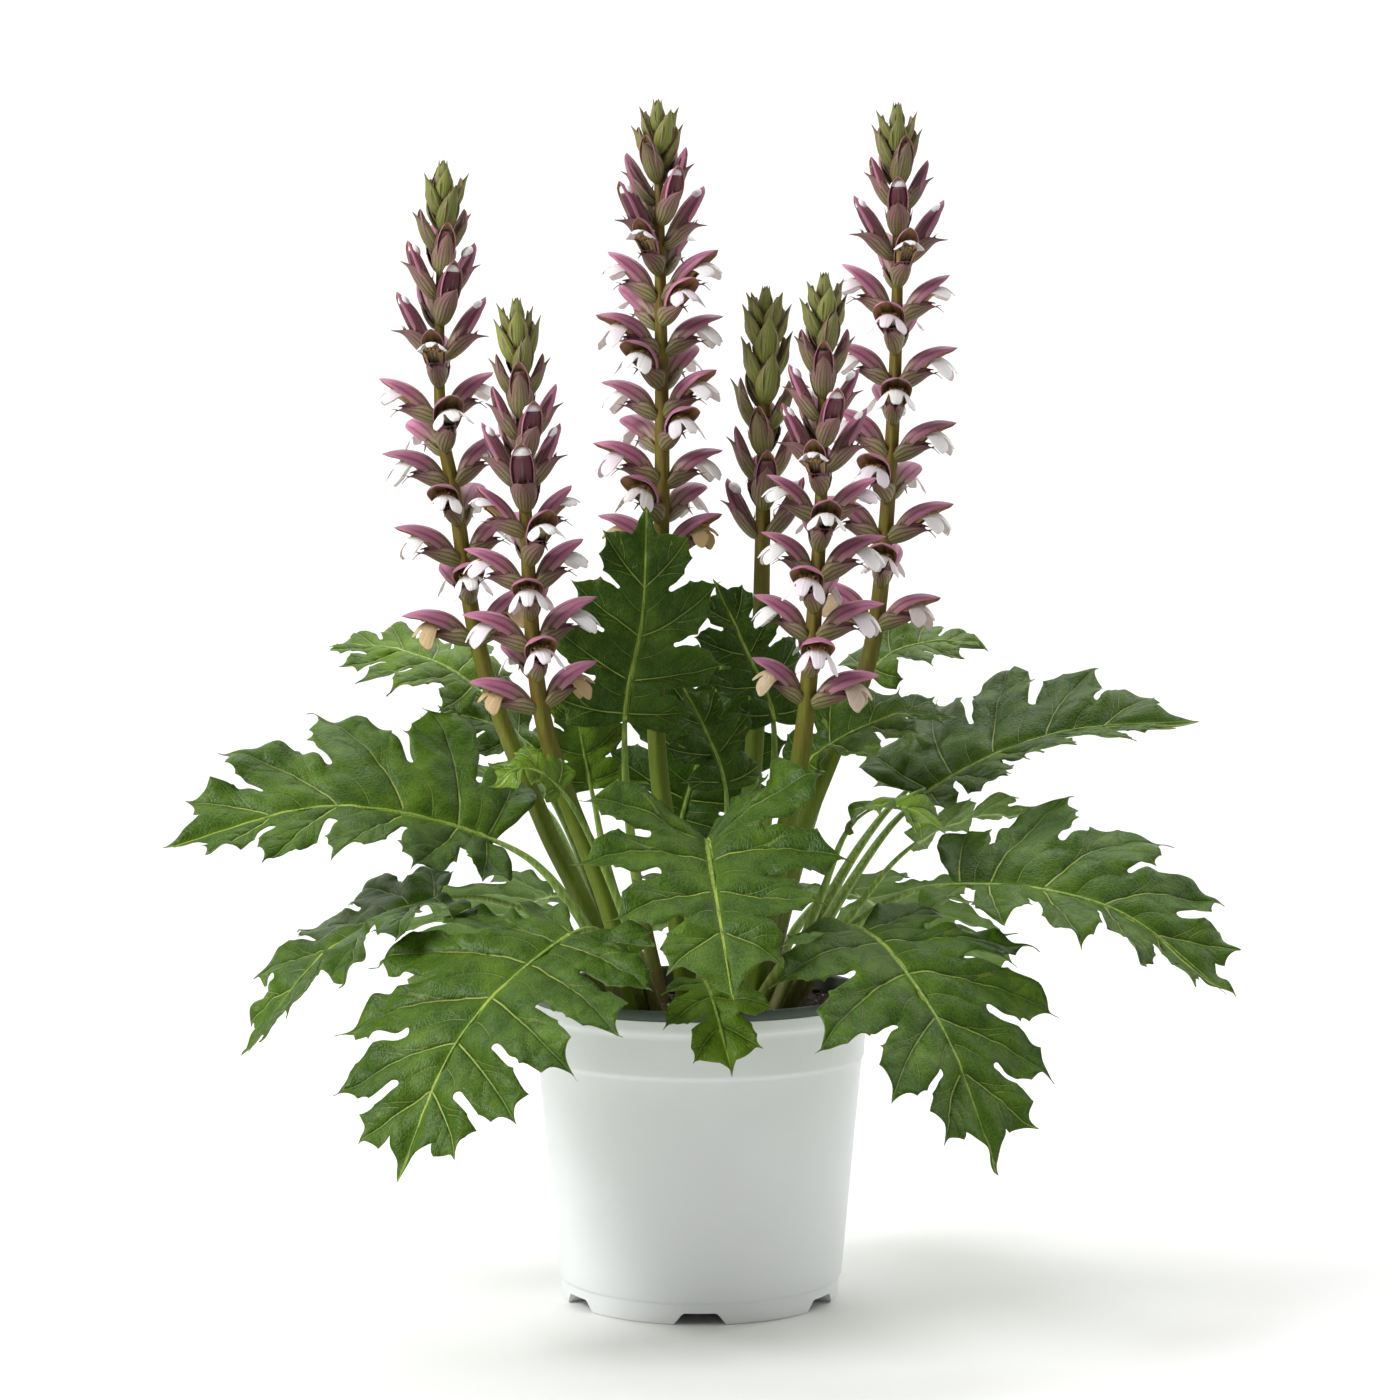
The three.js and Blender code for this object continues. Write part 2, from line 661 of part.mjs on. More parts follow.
const SPIKES = [
  spike("spike_left_tall",
    [[-45, 12], [-83, 28, 268], [-112, 42, 325], [-154, 54, 434], [-173, 55, 547],
      [-184, 55, 618], [-182, 55, 765]],
    16, 8, 447, { turn: 90, turnStep: 92 }),
  spike("spike_centre_tall",
    [[-8, 26], [-20, 42, 290], [-31, 60, 387], [-27, 68, 547], [-28, 70, 689], [-30, 70, 810]],
    17, 10, 508, { turn: 90, turnStep: 90, sway: 38 }),
  spike("spike_right_tall",
    [[30, 24], [62, 38, 290], [98, 52, 380], [123, 62, 448], [135, 65, 568],
      [140, 65, 689], [140, 65, 807]],
    17, 10, 457, { turn: 70, turnStep: 92, crowding: 1.5 }),
  spike("spike_left_short",
    [[-38, -30], [-63, -40, 274], [-94, -46, 357], [-110, -50, 424], [-118, -50, 545],
      [-123, -50, 661]],
    17, 7, 405, { turn: -80, turnStep: 90, size: 0.95, crowding: 1.36 }),
  spike("spike_right_short",
    [[32, -22], [52, -28, 290], [68, -34, 370], [76, -40, 450], [82, -40, 546], [84, -40, 679]],
    17, 8, 408, { turn: 80, turnStep: 92, size: 0.95, crowding: 1.36 }),
  spike("spike_back_young",
    [[18, 46], [32, 66, 290], [42, 84, 420], [45, 90, 520], [46, 90, 610], [47, 90, 680]],
    11, 0, 522, { turn: 80, turnStep: 94, size: 0.95 }),
];

// The holes in the soil follow each root, a little wider and deeper.
function rootHole(points, radius, sides) {
  const curve = curveThrough(points);
  const first = curve.getPoint(0);
  const above = curve.getPoint(0.14);
  const down = first.clone().sub(above).normalize();
  const straight = new THREE.LineCurve3(
    first.clone().addScaledVector(down, CLEARANCE + 1),
    above.clone().addScaledVector(down, -6),
  );
  return taperedTube(straight, 0, 1, 1, sides, () => radius);
}

const group = new THREE.Group();
const leafSolids = LEAVES.map((one) => [one, leafSolid(one)]);
const spikeSolids = SPIKES.map((one) => [one, spikeSolid(one)]);
const holes = [
  ...LEAVES.map((one) => rootHole(one.points, one.stalk * 1.4 + 1, 4)),
  ...SPIKES.map((one) => rootHole(one.points, STEM_BASE_RADIUS * 1.4 + 0.6, 4)),
];
group.add(meshFrom("pot", potSolid(), COLOURS.pot));
group.add(meshFrom("soil", mainBody(soilSolid(holes)), COLOURS.soil));
for (const [one, solid] of leafSolids) group.add(meshFrom(one.name, solid, COLOURS.leaf));
for (const [one, solid] of spikeSolids) group.add(meshFrom(one.name, solid, COLOURS.spike));

export default group;
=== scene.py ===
"""Bear's breeches in a nursery pot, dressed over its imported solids. Sizes are in millimetres."""
import logging
import math
from dataclasses import dataclass, field
from enum import Enum
from typing import Sequence

import bpy
import numpy as np
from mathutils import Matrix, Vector
from mathutils.geometry import delaunay_2d_cdt


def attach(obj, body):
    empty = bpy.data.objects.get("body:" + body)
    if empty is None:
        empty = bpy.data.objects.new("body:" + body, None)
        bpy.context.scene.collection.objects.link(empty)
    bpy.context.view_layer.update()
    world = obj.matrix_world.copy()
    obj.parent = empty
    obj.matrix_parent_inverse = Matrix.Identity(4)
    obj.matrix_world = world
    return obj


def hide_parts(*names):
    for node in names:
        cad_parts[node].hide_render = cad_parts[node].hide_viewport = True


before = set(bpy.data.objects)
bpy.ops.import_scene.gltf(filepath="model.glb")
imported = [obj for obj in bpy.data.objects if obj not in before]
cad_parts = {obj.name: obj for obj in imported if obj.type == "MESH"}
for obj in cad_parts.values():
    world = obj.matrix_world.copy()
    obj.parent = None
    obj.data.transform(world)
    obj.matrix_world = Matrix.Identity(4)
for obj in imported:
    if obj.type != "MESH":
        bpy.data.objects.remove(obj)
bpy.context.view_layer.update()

MM = 0.001
log = logging.getLogger("bears_breeches")

Pair = tuple[float, float]
Slots = tuple[int, int]
Surface = tuple[np.ndarray, np.ndarray, np.ndarray]
Triple = tuple[float, float, float]
Colour = tuple[float, float, float]


# Shader maths


class Value:
    """A socket of a material that can be reckoned with like a number."""

    def __init__(self, kit: "Kit", socket: bpy.types.NodeSocket) -> None:
        """Wrap one socket of one material."""
        self.kit = kit
        self.socket = socket

    def _math(self, operation: str, *parts: "Value | float") -> "Value":
        """Return the result of a Math node."""
        inputs = dict(enumerate(parts))
        return self.kit.node("ShaderNodeMath", {"operation": operation}, inputs)

    def __add__(self, other: "Value | float") -> "Value":
        """Return self + other."""
        return self._math("ADD", self, other)

    def __sub__(self, other: "Value | float") -> "Value":
        """Return self - other."""
        return self._math("SUBTRACT", self, other)

    def __rsub__(self, other: float) -> "Value":
        """Return other - self."""
        return self._math("SUBTRACT", other, self)

    def __mul__(self, other: "Value | float") -> "Value":
        """Return self * other."""
        return self._math("MULTIPLY", self, other)

    __radd__ = __add__
    __rmul__ = __mul__

    def sine(self) -> "Value":
        """Return the sine of self."""
        return self._math("SINE", self)

    def size(self) -> "Value":
        """Return self without its sign."""
        return self._math("ABSOLUTE", self)

    def larger(self, other: "Value | float") -> "Value":
        """Return the larger of self and other."""
        return self._math("MAXIMUM", self, other)

    def ramp(self, low: float, high: float) -> "Value":
        """Return 0 where self is at low, 1 where it is at high, and a soft step between.

        Args:
            low: The value that gives 0. It may lie above high.
            high: The value that gives 1.

        Returns:
            The softened share.
        """
        settings = {"interpolation_type": "SMOOTHSTEP"}
        if low < high:
            inputs = {"Value": self, "From Min": low, "From Max": high}
            return self.kit.node("ShaderNodeMapRange", settings, inputs)
        inputs = {"Value": self, "From Min": high, "From Max": low}
        return 1 - self.kit.node("ShaderNodeMapRange", settings, inputs)


class Kit:
    """The nodes of one new material, with a Principled shader at their end."""

    def __init__(self, name: str) -> None:
        """Start the material."""
        self.material = bpy.data.materials.new(name)
        self.material.use_nodes = True
        self.tree = self.material.node_tree
        self.shader = self.tree.nodes["Principled BSDF"]

    def node(self, kind: str, settings: dict, inputs: dict, output: int | str = 0) -> Value:
        """Add a node.

        Args:
            kind: The node's type.
            settings: Properties of the node, or "stops" for a ramp's places and colours.
            inputs: The value or link of each named or numbered socket.
            output: The socket that is wanted from it.

        Returns:
            The wanted output.
        """
        node = self.tree.nodes.new(kind)
        for key, setting in settings.items():
            if key == "stops":
                self._fill_ramp(node.color_ramp, setting)
            else:
                setattr(node, key, setting)
        for key, given in inputs.items():
            self._feed(self._socket(node.inputs, key), given)
        return Value(self, self._socket(node.outputs, output))

    @staticmethod
    def _fill_ramp(ramp: bpy.types.ColorRamp, stops: Sequence[tuple[float, Colour]]) -> None:
        """Give a colour ramp its stops."""
        while len(ramp.elements) < len(stops):
            ramp.elements.new(1.0)
        for element, (place, colour) in zip(ramp.elements, stops):
            element.position = place
            element.color = (*colour, 1.0)

    @staticmethod
    def _socket(sockets: Sequence, key: int | str) -> bpy.types.NodeSocket:
        """Return the socket with this number, identifier or name."""
        if isinstance(key, int):
            return sockets[key]
        named = [s for s in sockets if s.identifier == key]
        return named[0] if named else sockets[key]

    def _feed(self, socket: bpy.types.NodeSocket, given: object) -> None:
        """Link or set one socket."""
        if isinstance(given, Value):
            self.tree.links.new(given.socket, socket)
        elif isinstance(given, tuple) and len(socket.default_value) == 4:
            socket.default_value = (*given, 1.0)
        else:
            socket.default_value = given

    def read(self, name: str) -> Value:
        """Return a number stored on the mesh."""
        return self.node("ShaderNodeAttribute", {"attribute_name": name}, {}, "Fac")

    def flat(self) -> Value:
        """Return the place on the flat sheet that the mesh stores, in metres."""
        return self.node("ShaderNodeAttribute", {"attribute_name": "flat"}, {}, "Vector")

    def place(self) -> Value:
        """Return the place in the object's own frame, in metres."""
        return self.node("ShaderNodeTexCoord", {}, {}, "Object")

    def noise(self, where: Value, scale: float, detail: float = 2.0, rough: float = 0.5) -> Value:
        """Return soft noise between 0 and 1, whose grain is 1 / scale metres."""
        inputs = {"Vector": where, "Scale": scale, "Detail": detail, "Roughness": rough}
        return self.node("ShaderNodeTexNoise", {}, inputs, "Fac")

    def cells(self, where: Value, scale: float, feature: str = "DISTANCE_TO_EDGE") -> Value:
        """Return the distance in a pattern of cells whose size is 1 / scale metres."""
        inputs = {"Vector": where, "Scale": scale}
        return self.node("ShaderNodeTexVoronoi", {"feature": feature}, inputs, "Distance")

    def stretched(self, where: Value, factors: Triple) -> Value:
        """Return a place with each of its directions scaled."""
        settings = {"operation": "MULTIPLY"}
        return self.node("ShaderNodeVectorMath", settings, {0: where, 1: factors})

    def parts(self, where: Value) -> tuple[Value, Value, Value]:
        """Return the three numbers of a place."""
        split = self.node("ShaderNodeSeparateXYZ", {}, {0: where})
        outputs = split.socket.node.outputs
        return tuple(Value(self, outputs[i]) for i in range(3))

    def mix(self, share: Value | float, a: Value | Colour, b: Value | Colour) -> Value:
        """Return a colour between a, at share 0, and b, at share 1."""
        inputs = {"Factor_Float": share, "A_Color": a, "B_Color": b}
        return self.node("ShaderNodeMix", {"data_type": "RGBA"}, inputs, "Result_Color")

    def layers(self, ground: Value, *over: tuple[Value, Value | Colour]) -> Value:
        """Return a colour with others laid over it, each by its own share."""
        for share, colour in over:
            ground = self.mix(share, ground, colour)
        return ground

    def bump(self, height: Value, depth: float, strength: float) -> Value:
        """Return a normal roughened by a height.

        Args:
            height: The relief, between 0 and 1.
            depth: How far the relief stands out, in metres.
            strength: The share of it that shows.

        Returns:
            The normal.
        """
        inputs = {"Height": height, "Distance": depth, "Strength": strength}
        return self.node("ShaderNodeBump", {}, inputs, "Normal")

    def finish(self, **sockets: object) -> bpy.types.Material:
        """Set the shader's sockets, whose names are given with _ for a space.

        Args:
            **sockets: A value or a link for each socket.

        Returns:
            The material.
        """
        for key, given in sockets.items():
            self._feed(self.shader.inputs[key.replace("_", " ")], given)
        return self.material


# Finishes


@dataclass(frozen=True)
class BladeFinish:
    """The upper or lower face of a leaf blade, with its veins and painted shade in the creases
    beside them.
    """

    name: str
    dark: Colour
    light: Colour
    vein: Colour
    # crease: a dark colour painted as shade in the sunken creases beside the side veins and
    # veinlets
    crease: Colour
    rim: Colour
    roughness: float
    relief: float
    gloss: float

    def material(self) -> bpy.types.Material:
        """Return the material, which reads the distances to the veins from the mesh."""
        kit = Kit(self.name)
        where = kit.flat()
        tone = kit.read("tone")
        cloud = kit.noise(where, 22.0, 3.0)
        blotch = kit.noise(where, 90.0, 3.0, 0.6)
        share = (cloud * 0.9 + blotch * 0.5 + tone - 0.75).ramp(0.0, 1.0)
        net = kit.cells(kit.stretched(where, (1.0, 1.3, 1.0)), 300.0)
        rib, vein, veinlet, edge = (kit.read(key) for key in ("rib", "vein", "veinlet", "edge"))
        inner = rib.ramp(75.0, 5.0)
        ground = kit.layers(
            kit.mix(share, self.dark, self.light),
            (net.ramp(0.10, 0.0) * 0.10, self.vein),
            # Painted shade: a dark band beside each veinlet, where its crease lies in shadow.
            (veinlet.ramp(1.2, 0.1) * 0.4, self.crease),
            (veinlet.ramp(0.14, -0.08) * (inner * 0.4 + 0.1), self.vein),
            # Painted shade: a dark band beside each side vein, in its sunken valley.
            (vein.ramp(2.4, 0.2) * 0.5, self.crease),
            (vein.ramp(0.2, -0.12) * (inner * 0.55 + 0.35), self.vein),
            (rib.ramp(4.0, 0.2) * 0.3, self.light),
            (rib.ramp(0.3, -0.15), self.vein),
            (edge.ramp(0.8, 0.0) * 0.5, self.rim),
        )
        fine = kit.noise(where, 900.0, 2.0)
        height = net.ramp(0.0, 0.25) * 0.5 + fine * 0.15 + vein.ramp(0.0, 1.2) * 0.8
        rough = self.roughness + blotch * 0.14 - rib.ramp(0.4, 0.0) * 0.05
        return kit.finish(
            Base_Color=ground,
            Roughness=rough,
            Normal=kit.bump(height, self.relief, 0.7),
            Specular_IOR_Level=self.gloss,
        )


@dataclass(frozen=True)
class StalkFinish:
    """A leaf's stalk and midrib, streaked lengthwise and ruddy at its foot."""

    name: str
    foot: Colour
    middle: Colour
    streak: Colour

    def material(self) -> bpy.types.Material:
        """Return the material."""
        kit = Kit(self.name)
        where = kit.place()
        along = kit.read("along")
        streaks = kit.noise(kit.stretched(where, (1.0, 1.0, 0.12)), 480.0, 2.0)
        blush = (along + kit.noise(where, 40.0) * 0.2).ramp(0.36, 0.12)
        green = kit.mix(streaks.ramp(0.42, 0.62), self.middle, self.streak)
        ground = kit.mix(blush * 0.85, green, self.foot)
        fine = kit.noise(where, 1500.0)
        return kit.finish(
            Base_Color=ground,
            Roughness=0.42 + streaks * 0.16,
            Normal=kit.bump(streaks * 0.7 + fine * 0.3, 0.0005, 0.6),
        )


@dataclass(frozen=True)
class StemFinish:
    """The stem of a flower spike, green below and olive brown among the flowers."""

    name: str
    low: Colour
    high: Colour
    streak: Colour

    def material(self) -> bpy.types.Material:
        """Return the material."""
        kit = Kit(self.name)
        where = kit.place()
        along = kit.read("along")
        streaks = kit.noise(kit.stretched(where, (1.0, 1.0, 0.1)), 420.0, 3.0)
        patches = kit.noise(where, 34.0, 3.0)
        turn = (along + patches * 0.4).ramp(0.45, 0.85)
        plain = kit.mix(turn, self.low, self.high)
        ground = kit.mix(streaks.ramp(0.45, 0.7) * 0.55, plain, self.streak)
        hairs = kit.noise(kit.stretched(where, (1.0, 1.0, 0.4)), 2600.0, 1.0)
        return kit.finish(
            Base_Color=ground,
            Roughness=0.5 + hairs * 0.16,
            Normal=kit.bump(streaks * 0.6 + hairs * 0.5, 0.0005, 0.7),
            Specular_IOR_Level=0.25,
        )


@dataclass(frozen=True)
class PetalFinish:
    """A hood, bract or tongue: a ground that turns towards its tip, with stripes along it."""

    name: str
    young: Colour
    foot: Colour
    tip: Colour
    stripe: Colour
    rim: Colour
    turn: Pair
    stripes: float
    stripe_share: float
    rim_share: float
    roughness: float

    def material(self) -> bpy.types.Material:
        """Return the material, which reads its lengthwise and crosswise places from the mesh."""
        kit = Kit(self.name)
        along = kit.read("along")
        aside = kit.read("aside")
        hue = kit.read("hue")
        where = kit.flat()
        wander = kit.noise(where, 130.0, 2.0)
        unripe = (kit.read("ripe") + wander * 0.3 + along * 0.15).ramp(0.85, 0.1)
        line = ((aside + wander * 0.12) * self.stripes).sine()
        fade = along.ramp(1.0, 0.45)
        bold = (1.0 - unripe * 0.65) * self.stripe_share
        fine = kit.noise(kit.stretched(where, (1.0, 7.0, 1.0)), 240.0, 3.0)
        midline = aside.size().ramp(0.1, 0.02) * along.ramp(1.0, 0.6)
        border = aside.size().ramp(0.82, 1.0).larger(along.ramp(0.9, 1.0))
        ground = kit.layers(
            kit.mix((along + wander * 0.3 - 0.15).ramp(*self.turn), self.foot, self.tip),
            (unripe, self.young),
            (line.ramp(0.1, 0.9) * fade * bold, self.stripe),
            (fine.ramp(0.45, 0.75) * 0.3, self.stripe),
            (midline * 0.4, self.young),
            (border * (1.0 - unripe * 0.35) * self.rim_share, self.rim),
        )
        shade = {"Hue": 0.5, "Saturation": 1.0, "Value": 0.8 + hue * 0.4, "Color": ground}
        ground = kit.node("ShaderNodeHueSaturation", {}, shade, "Color")
        height = line * 0.3 + fine * 0.6
        return kit.finish(
            Base_Color=ground,
            Roughness=self.roughness + fine * 0.12,
            Normal=kit.bump(height, 0.0004, 0.7),
            Specular_IOR_Level=0.32,
        )


@dataclass(frozen=True)
class LipFinish:
    """The white lip of a flower, with a cream throat and fine veins, browned where it is old."""

    name: str
    throat: Colour
    petal: Colour
    blush: Colour
    vein: Colour
    old: Colour

    def material(self) -> bpy.types.Material:
        """Return the material."""
        kit = Kit(self.name)
        along = kit.read("along")
        aside = kit.read("aside")
        age = kit.read("age")
        hue = kit.read("hue")
        where = kit.flat()
        wander = kit.noise(where, 120.0, 2.0)
        line = ((aside + wander * 0.05) * 46.0).sine()
        crumple = kit.noise(where, 260.0, 4.0, 0.65)
        withered = (age + crumple * 0.9 * age).ramp(0.35, 1.25)
        ground = kit.layers(
            kit.mix(along.ramp(0.05, 0.5), self.throat, self.petal),
            ((hue + wander * 0.6).ramp(0.5, 1.3) * 0.8, self.blush),
            (line.ramp(0.72, 1.0) * along.ramp(0.95, 0.4) * 0.4, self.vein),
            (withered, self.old),
        )
        return kit.finish(
            Base_Color=ground,
            Roughness=0.5 + withered * 0.2,
            Normal=kit.bump(line * 0.2 + crumple * (0.5 + age), 0.0006, 0.5),
            Subsurface_Weight=0.2,
            Subsurface_Radius=(0.004, 0.003, 0.0025),
            Subsurface_Scale=0.5,
        )


@dataclass(frozen=True)
class StamenFinish:
    """Tan stamens with furry brown heads."""

    name: str
    stalk: Colour
    head: Colour

    def material(self) -> bpy.types.Material:
        """Return the material."""
        kit = Kit(self.name)
        along = kit.read("along")
        fur = kit.noise(kit.place(), 1800.0, 2.0)
        plain = kit.mix(along.ramp(0.6, 0.8), self.stalk, self.head)
        ground = kit.mix(fur.ramp(0.4, 0.7) * 0.6, plain, self.stalk)
        return kit.finish(
            Base_Color=ground,
            Roughness=0.6 + fur * 0.2,
            Normal=kit.bump(fur, 0.0004, 0.8),
        )


@dataclass(frozen=True)
class PlasticFinish:
    """Moulded plastic with a fine sand grain, faint scuffs and dust towards its foot."""

    name: str
    colour: Colour
    scuff: Colour
    roughness: float
    dust: float

    def material(self) -> bpy.types.Material:
        """Return the material."""
        kit = Kit(self.name)
        where = kit.place()
        height = kit.parts(where)[2]
        cloud = kit.noise(where, 14.0, 3.0)
        scratch = kit.noise(kit.stretched(where, (1.0, 1.0, 9.0)), 60.0, 4.0, 0.7)
        grain = kit.noise(where, 1900.0, 2.0)
        specks = kit.noise(where, 330.0, 2.0).ramp(0.74, 0.8)
        foot = (height + cloud * 0.02).ramp(0.045, 0.0) * self.dust
        ground = kit.layers(
            kit.mix(cloud * 0.25, self.colour, self.scuff),
            (scratch.ramp(0.62, 0.78) * 0.3, self.scuff),
            ((foot * 0.5).larger(specks * self.dust * 0.5), self.scuff),
        )
        return kit.finish(
            Base_Color=ground,
            Roughness=self.roughness + scratch * 0.12 + cloud * 0.06,
            Normal=kit.bump(grain * 0.6 + scratch * 0.3, 0.0003, 0.4),
            Specular_IOR_Level=0.45,
        )


@dataclass(frozen=True)
class SoilFinish:
    """Damp crumbly compost, or the bits of bark and pale grit that lie in it."""

    name: str
    dark: Colour
    light: Colour
    speck: Colour
    speck_share: float

    def material(self) -> bpy.types.Material:
        """Return the material."""
        kit = Kit(self.name)
        where = kit.place()
        crumbs = kit.cells(where, 260.0, "F1")
        clods = kit.noise(where, 90.0, 5.0, 0.7)
        fibres = kit.noise(kit.stretched(where, (1.0, 4.0, 1.0)), 400.0, 3.0)
        grit = kit.noise(where, 620.0, 1.0).ramp(0.72, 0.78)
        ground = kit.layers(
            kit.mix(clods.ramp(0.3, 0.75), self.dark, self.light),
            (fibres.ramp(0.66, 0.76) * self.speck_share, self.speck),
            (grit * self.speck_share, self.speck),
        )
        return kit.finish(
            Base_Color=ground,
            Roughness=0.72 + clods * 0.25,
            Normal=kit.bump(crumbs * 0.5 + clods * 0.7, 0.002, 0.8),
        )


@dataclass(frozen=True)
class FloorFinish:
    """The plain pale floor of the studio."""

    name: str
    colour: Colour

    def material(self) -> bpy.types.Material:
        """Return the material."""
        return Kit(self.name).finish(Base_Color=self.colour, Roughness=0.6)


class Finish(Enum):
    """Every finish on the plant and its pot, each made once."""

    # The fourth colour of each blade finish is painted shade for the creases beside the veins and
    # veinlets.
    BLADE_TOP = BladeFinish(
        "leaf_upper_face", (0.023, 0.066, 0.003), (0.122, 0.222, 0.013), (0.330, 0.410, 0.070),
        (0.016, 0.046, 0.004), (0.130, 0.180, 0.040), 0.35, 0.0005, 0.17,
    )
    BLADE_UNDER = BladeFinish(
        "leaf_under_face", (0.120, 0.210, 0.045), (0.200, 0.310, 0.080), (0.360, 0.470, 0.160),
        (0.100, 0.180, 0.040), (0.180, 0.250, 0.070), 0.5, 0.0008, 0.14,
    )
    STALK = StalkFinish(
        "leaf_stalk", (0.130, 0.075, 0.028), (0.150, 0.250, 0.026), (0.260, 0.370, 0.065),
    )
    STEM = StemFinish(
        "flower_stem", (0.105, 0.155, 0.008), (0.135, 0.088, 0.012), (0.170, 0.185, 0.018),
    )
    HOOD = PetalFinish(
        "hood_outside", (0.240, 0.230, 0.075), (0.330, 0.270, 0.160), (0.400, 0.140, 0.230),
        (0.170, 0.050, 0.085), (0.520, 0.230, 0.340), (0.15, 0.48), 17.0, 0.70, 0.30, 0.42,
    )
    HOOD_INSIDE = PetalFinish(
        "hood_inside", (0.190, 0.170, 0.060), (0.440, 0.330, 0.150), (0.330, 0.190, 0.090),
        (0.110, 0.045, 0.020), (0.260, 0.100, 0.110), (0.10, 0.80), 13.0, 0.60, 0.35, 0.55,
    )
    THROAT = PetalFinish(
        "flower_throat", (0.260, 0.250, 0.110), (0.380, 0.320, 0.140), (0.360, 0.220, 0.080),
        (0.120, 0.050, 0.035), (0.330, 0.210, 0.090), (0.20, 0.90), 16.0, 0.75, 0.30, 0.5,
    )
    TONGUE = PetalFinish(
        "bud_tongue", (0.210, 0.200, 0.070), (0.190, 0.110, 0.080), (0.120, 0.028, 0.046),
        (0.065, 0.016, 0.026), (0.200, 0.110, 0.100), (0.10, 0.50), 12.0, 0.45, 0.45, 0.42,
    )
    BRACT = PetalFinish(
        "bract", (0.200, 0.240, 0.040), (0.240, 0.240, 0.080), (0.230, 0.120, 0.110),
        (0.070, 0.034, 0.034), (0.130, 0.052, 0.045), (0.10, 0.65), 31.0, 0.70, 0.80, 0.48,
    )
    LIP = LipFinish(
        "flower_lip", (0.700, 0.660, 0.430), (0.880, 0.860, 0.840), (0.840, 0.700, 0.780),
        (0.660, 0.500, 0.560), (0.520, 0.370, 0.190),
    )
    STAMEN = StamenFinish("stamens", (0.560, 0.360, 0.140), (0.300, 0.170, 0.060))
    POT_WHITE = PlasticFinish("pot_white", (0.860, 0.880, 0.890), (0.640, 0.640, 0.620), 0.30, 0.5)
    POT_SLATE = PlasticFinish("pot_slate", (0.072, 0.090, 0.080), (0.160, 0.170, 0.160), 0.38, 0.2)
    COMPOST = SoilFinish(
        "compost", (0.010, 0.006, 0.004), (0.060, 0.034, 0.020), (0.240, 0.170, 0.110), 0.7,
    )
    BARK = SoilFinish(
        "bark_bits", (0.040, 0.022, 0.012), (0.150, 0.085, 0.045), (0.300, 0.220, 0.150), 0.5,
    )
    GRIT = SoilFinish(
        "pale_grit", (0.420, 0.390, 0.340), (0.620, 0.600, 0.550), (0.300, 0.260, 0.220), 0.4,
    )
    FLOOR = FloorFinish("studio_floor", (0.88, 0.88, 0.87))

    def material(self) -> bpy.types.Material:
        """Return this finish's material, made at its first use."""
        known = bpy.data.materials.get(self.value.name)
        return known or self.value.material()


# Meshes


@dataclass
class Skin:
    """Points, faces and the numbers stored on them, gathered into one mesh."""

    points: list[np.ndarray] = field(default_factory=list)
    faces: list[np.ndarray] = field(default_factory=list)
    slots: list[np.ndarray] = field(default_factory=list)
    values: dict[str, list[np.ndarray]] = field(default_factory=dict)
    count: int = 0

    def add(
        self,
        points: np.ndarray,
        faces: np.ndarray,
        slots: np.ndarray | int = 0,
        **values: np.ndarray | float,
    ) -> None:
        """Add a patch.

        Args:
            points: Its places, one row each.
            faces: Its triangles or quads, one row each. A triangle repeats its last corner.
            slots: The finish of each face, or of all of them.
            **values: Named numbers or places stored on its points.
        """
        self.points.append(points)
        if faces.shape[1] == 3:
            faces = np.hstack([faces, faces[:, 2:]])
        self.faces.append(faces + self.count)
        self.slots.append(np.broadcast_to(slots, len(faces)))
        for name, given in values.items():
            given = np.asarray(given, float)
            shape = (len(points), 3) if given.shape[-1:] == (3,) else (len(points),)
            self.values.setdefault(name, []).append(np.broadcast_to(given, shape))
        self.count += len(points)

    def piece(self, name: str, finishes: Sequence[Finish]) -> bpy.types.Object:
        """Return the mesh as an object in the scene, in metres.

        Args:
            name: The object's name.
            finishes: The finish of each slot.

        Returns:
            The new object.
        """
        faces = np.vstack(self.faces)
        sizes = np.where(faces[:, 2] == faces[:, 3], 3, 4)
        kept = np.ones(faces.shape, bool)
        kept[:, 3] = sizes == 4
        mesh = bpy.data.meshes.new(name)
        mesh.vertices.add(self.count)
        mesh.vertices.foreach_set("co", (np.vstack(self.points) * MM).ravel())
        mesh.loops.add(int(sizes.sum()))
        mesh.loops.foreach_set("vertex_index", faces[kept])
        mesh.polygons.add(len(faces))
        mesh.polygons.foreach_set("loop_start", np.concatenate([[0], np.cumsum(sizes)[:-1]]))
        mesh.polygons.foreach_set("material_index", np.concatenate(self.slots))
        for key, given in self.values.items():
            stored = np.concatenate(given)
            flat = stored.ndim == 1
            kind = "FLOAT" if flat else "FLOAT_VECTOR"
            attribute = mesh.attributes.new(key, kind, "POINT")
            attribute.data.foreach_set("value" if flat else "vector", stored.ravel())
        mesh.update(calc_edges=True)
        mesh.validate()
        mesh.shade_smooth()
        for finish in finishes:
            mesh.materials.append(finish.material())
        piece = bpy.data.objects.new(name, mesh)
        bpy.context.scene.collection.objects.link(piece)
        return piece


def stand_for(piece: bpy.types.Object, node: str) -> None:
    """Make a piece ride with the plant and stand for one of its solids.

    Args:
        piece: The dressed piece.
        node: The solid that it replaces.
    """
    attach(piece, "root")
    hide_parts(node)
    log.info("%s: %d faces", piece.name, len(piece.data.polygons))


def unit(rows: np.ndarray) -> np.ndarray:
    """Return each row scaled to length 1."""
    return rows / np.maximum(np.linalg.norm(rows, axis=-1, keepdims=True), 1e-9)


def square_to(rows: np.ndarray, along: np.ndarray) -> np.ndarray:
    """Return each row without its part along another direction, at length 1."""
    return unit(rows - along * np.sum(rows * along, axis=-1, keepdims=True))


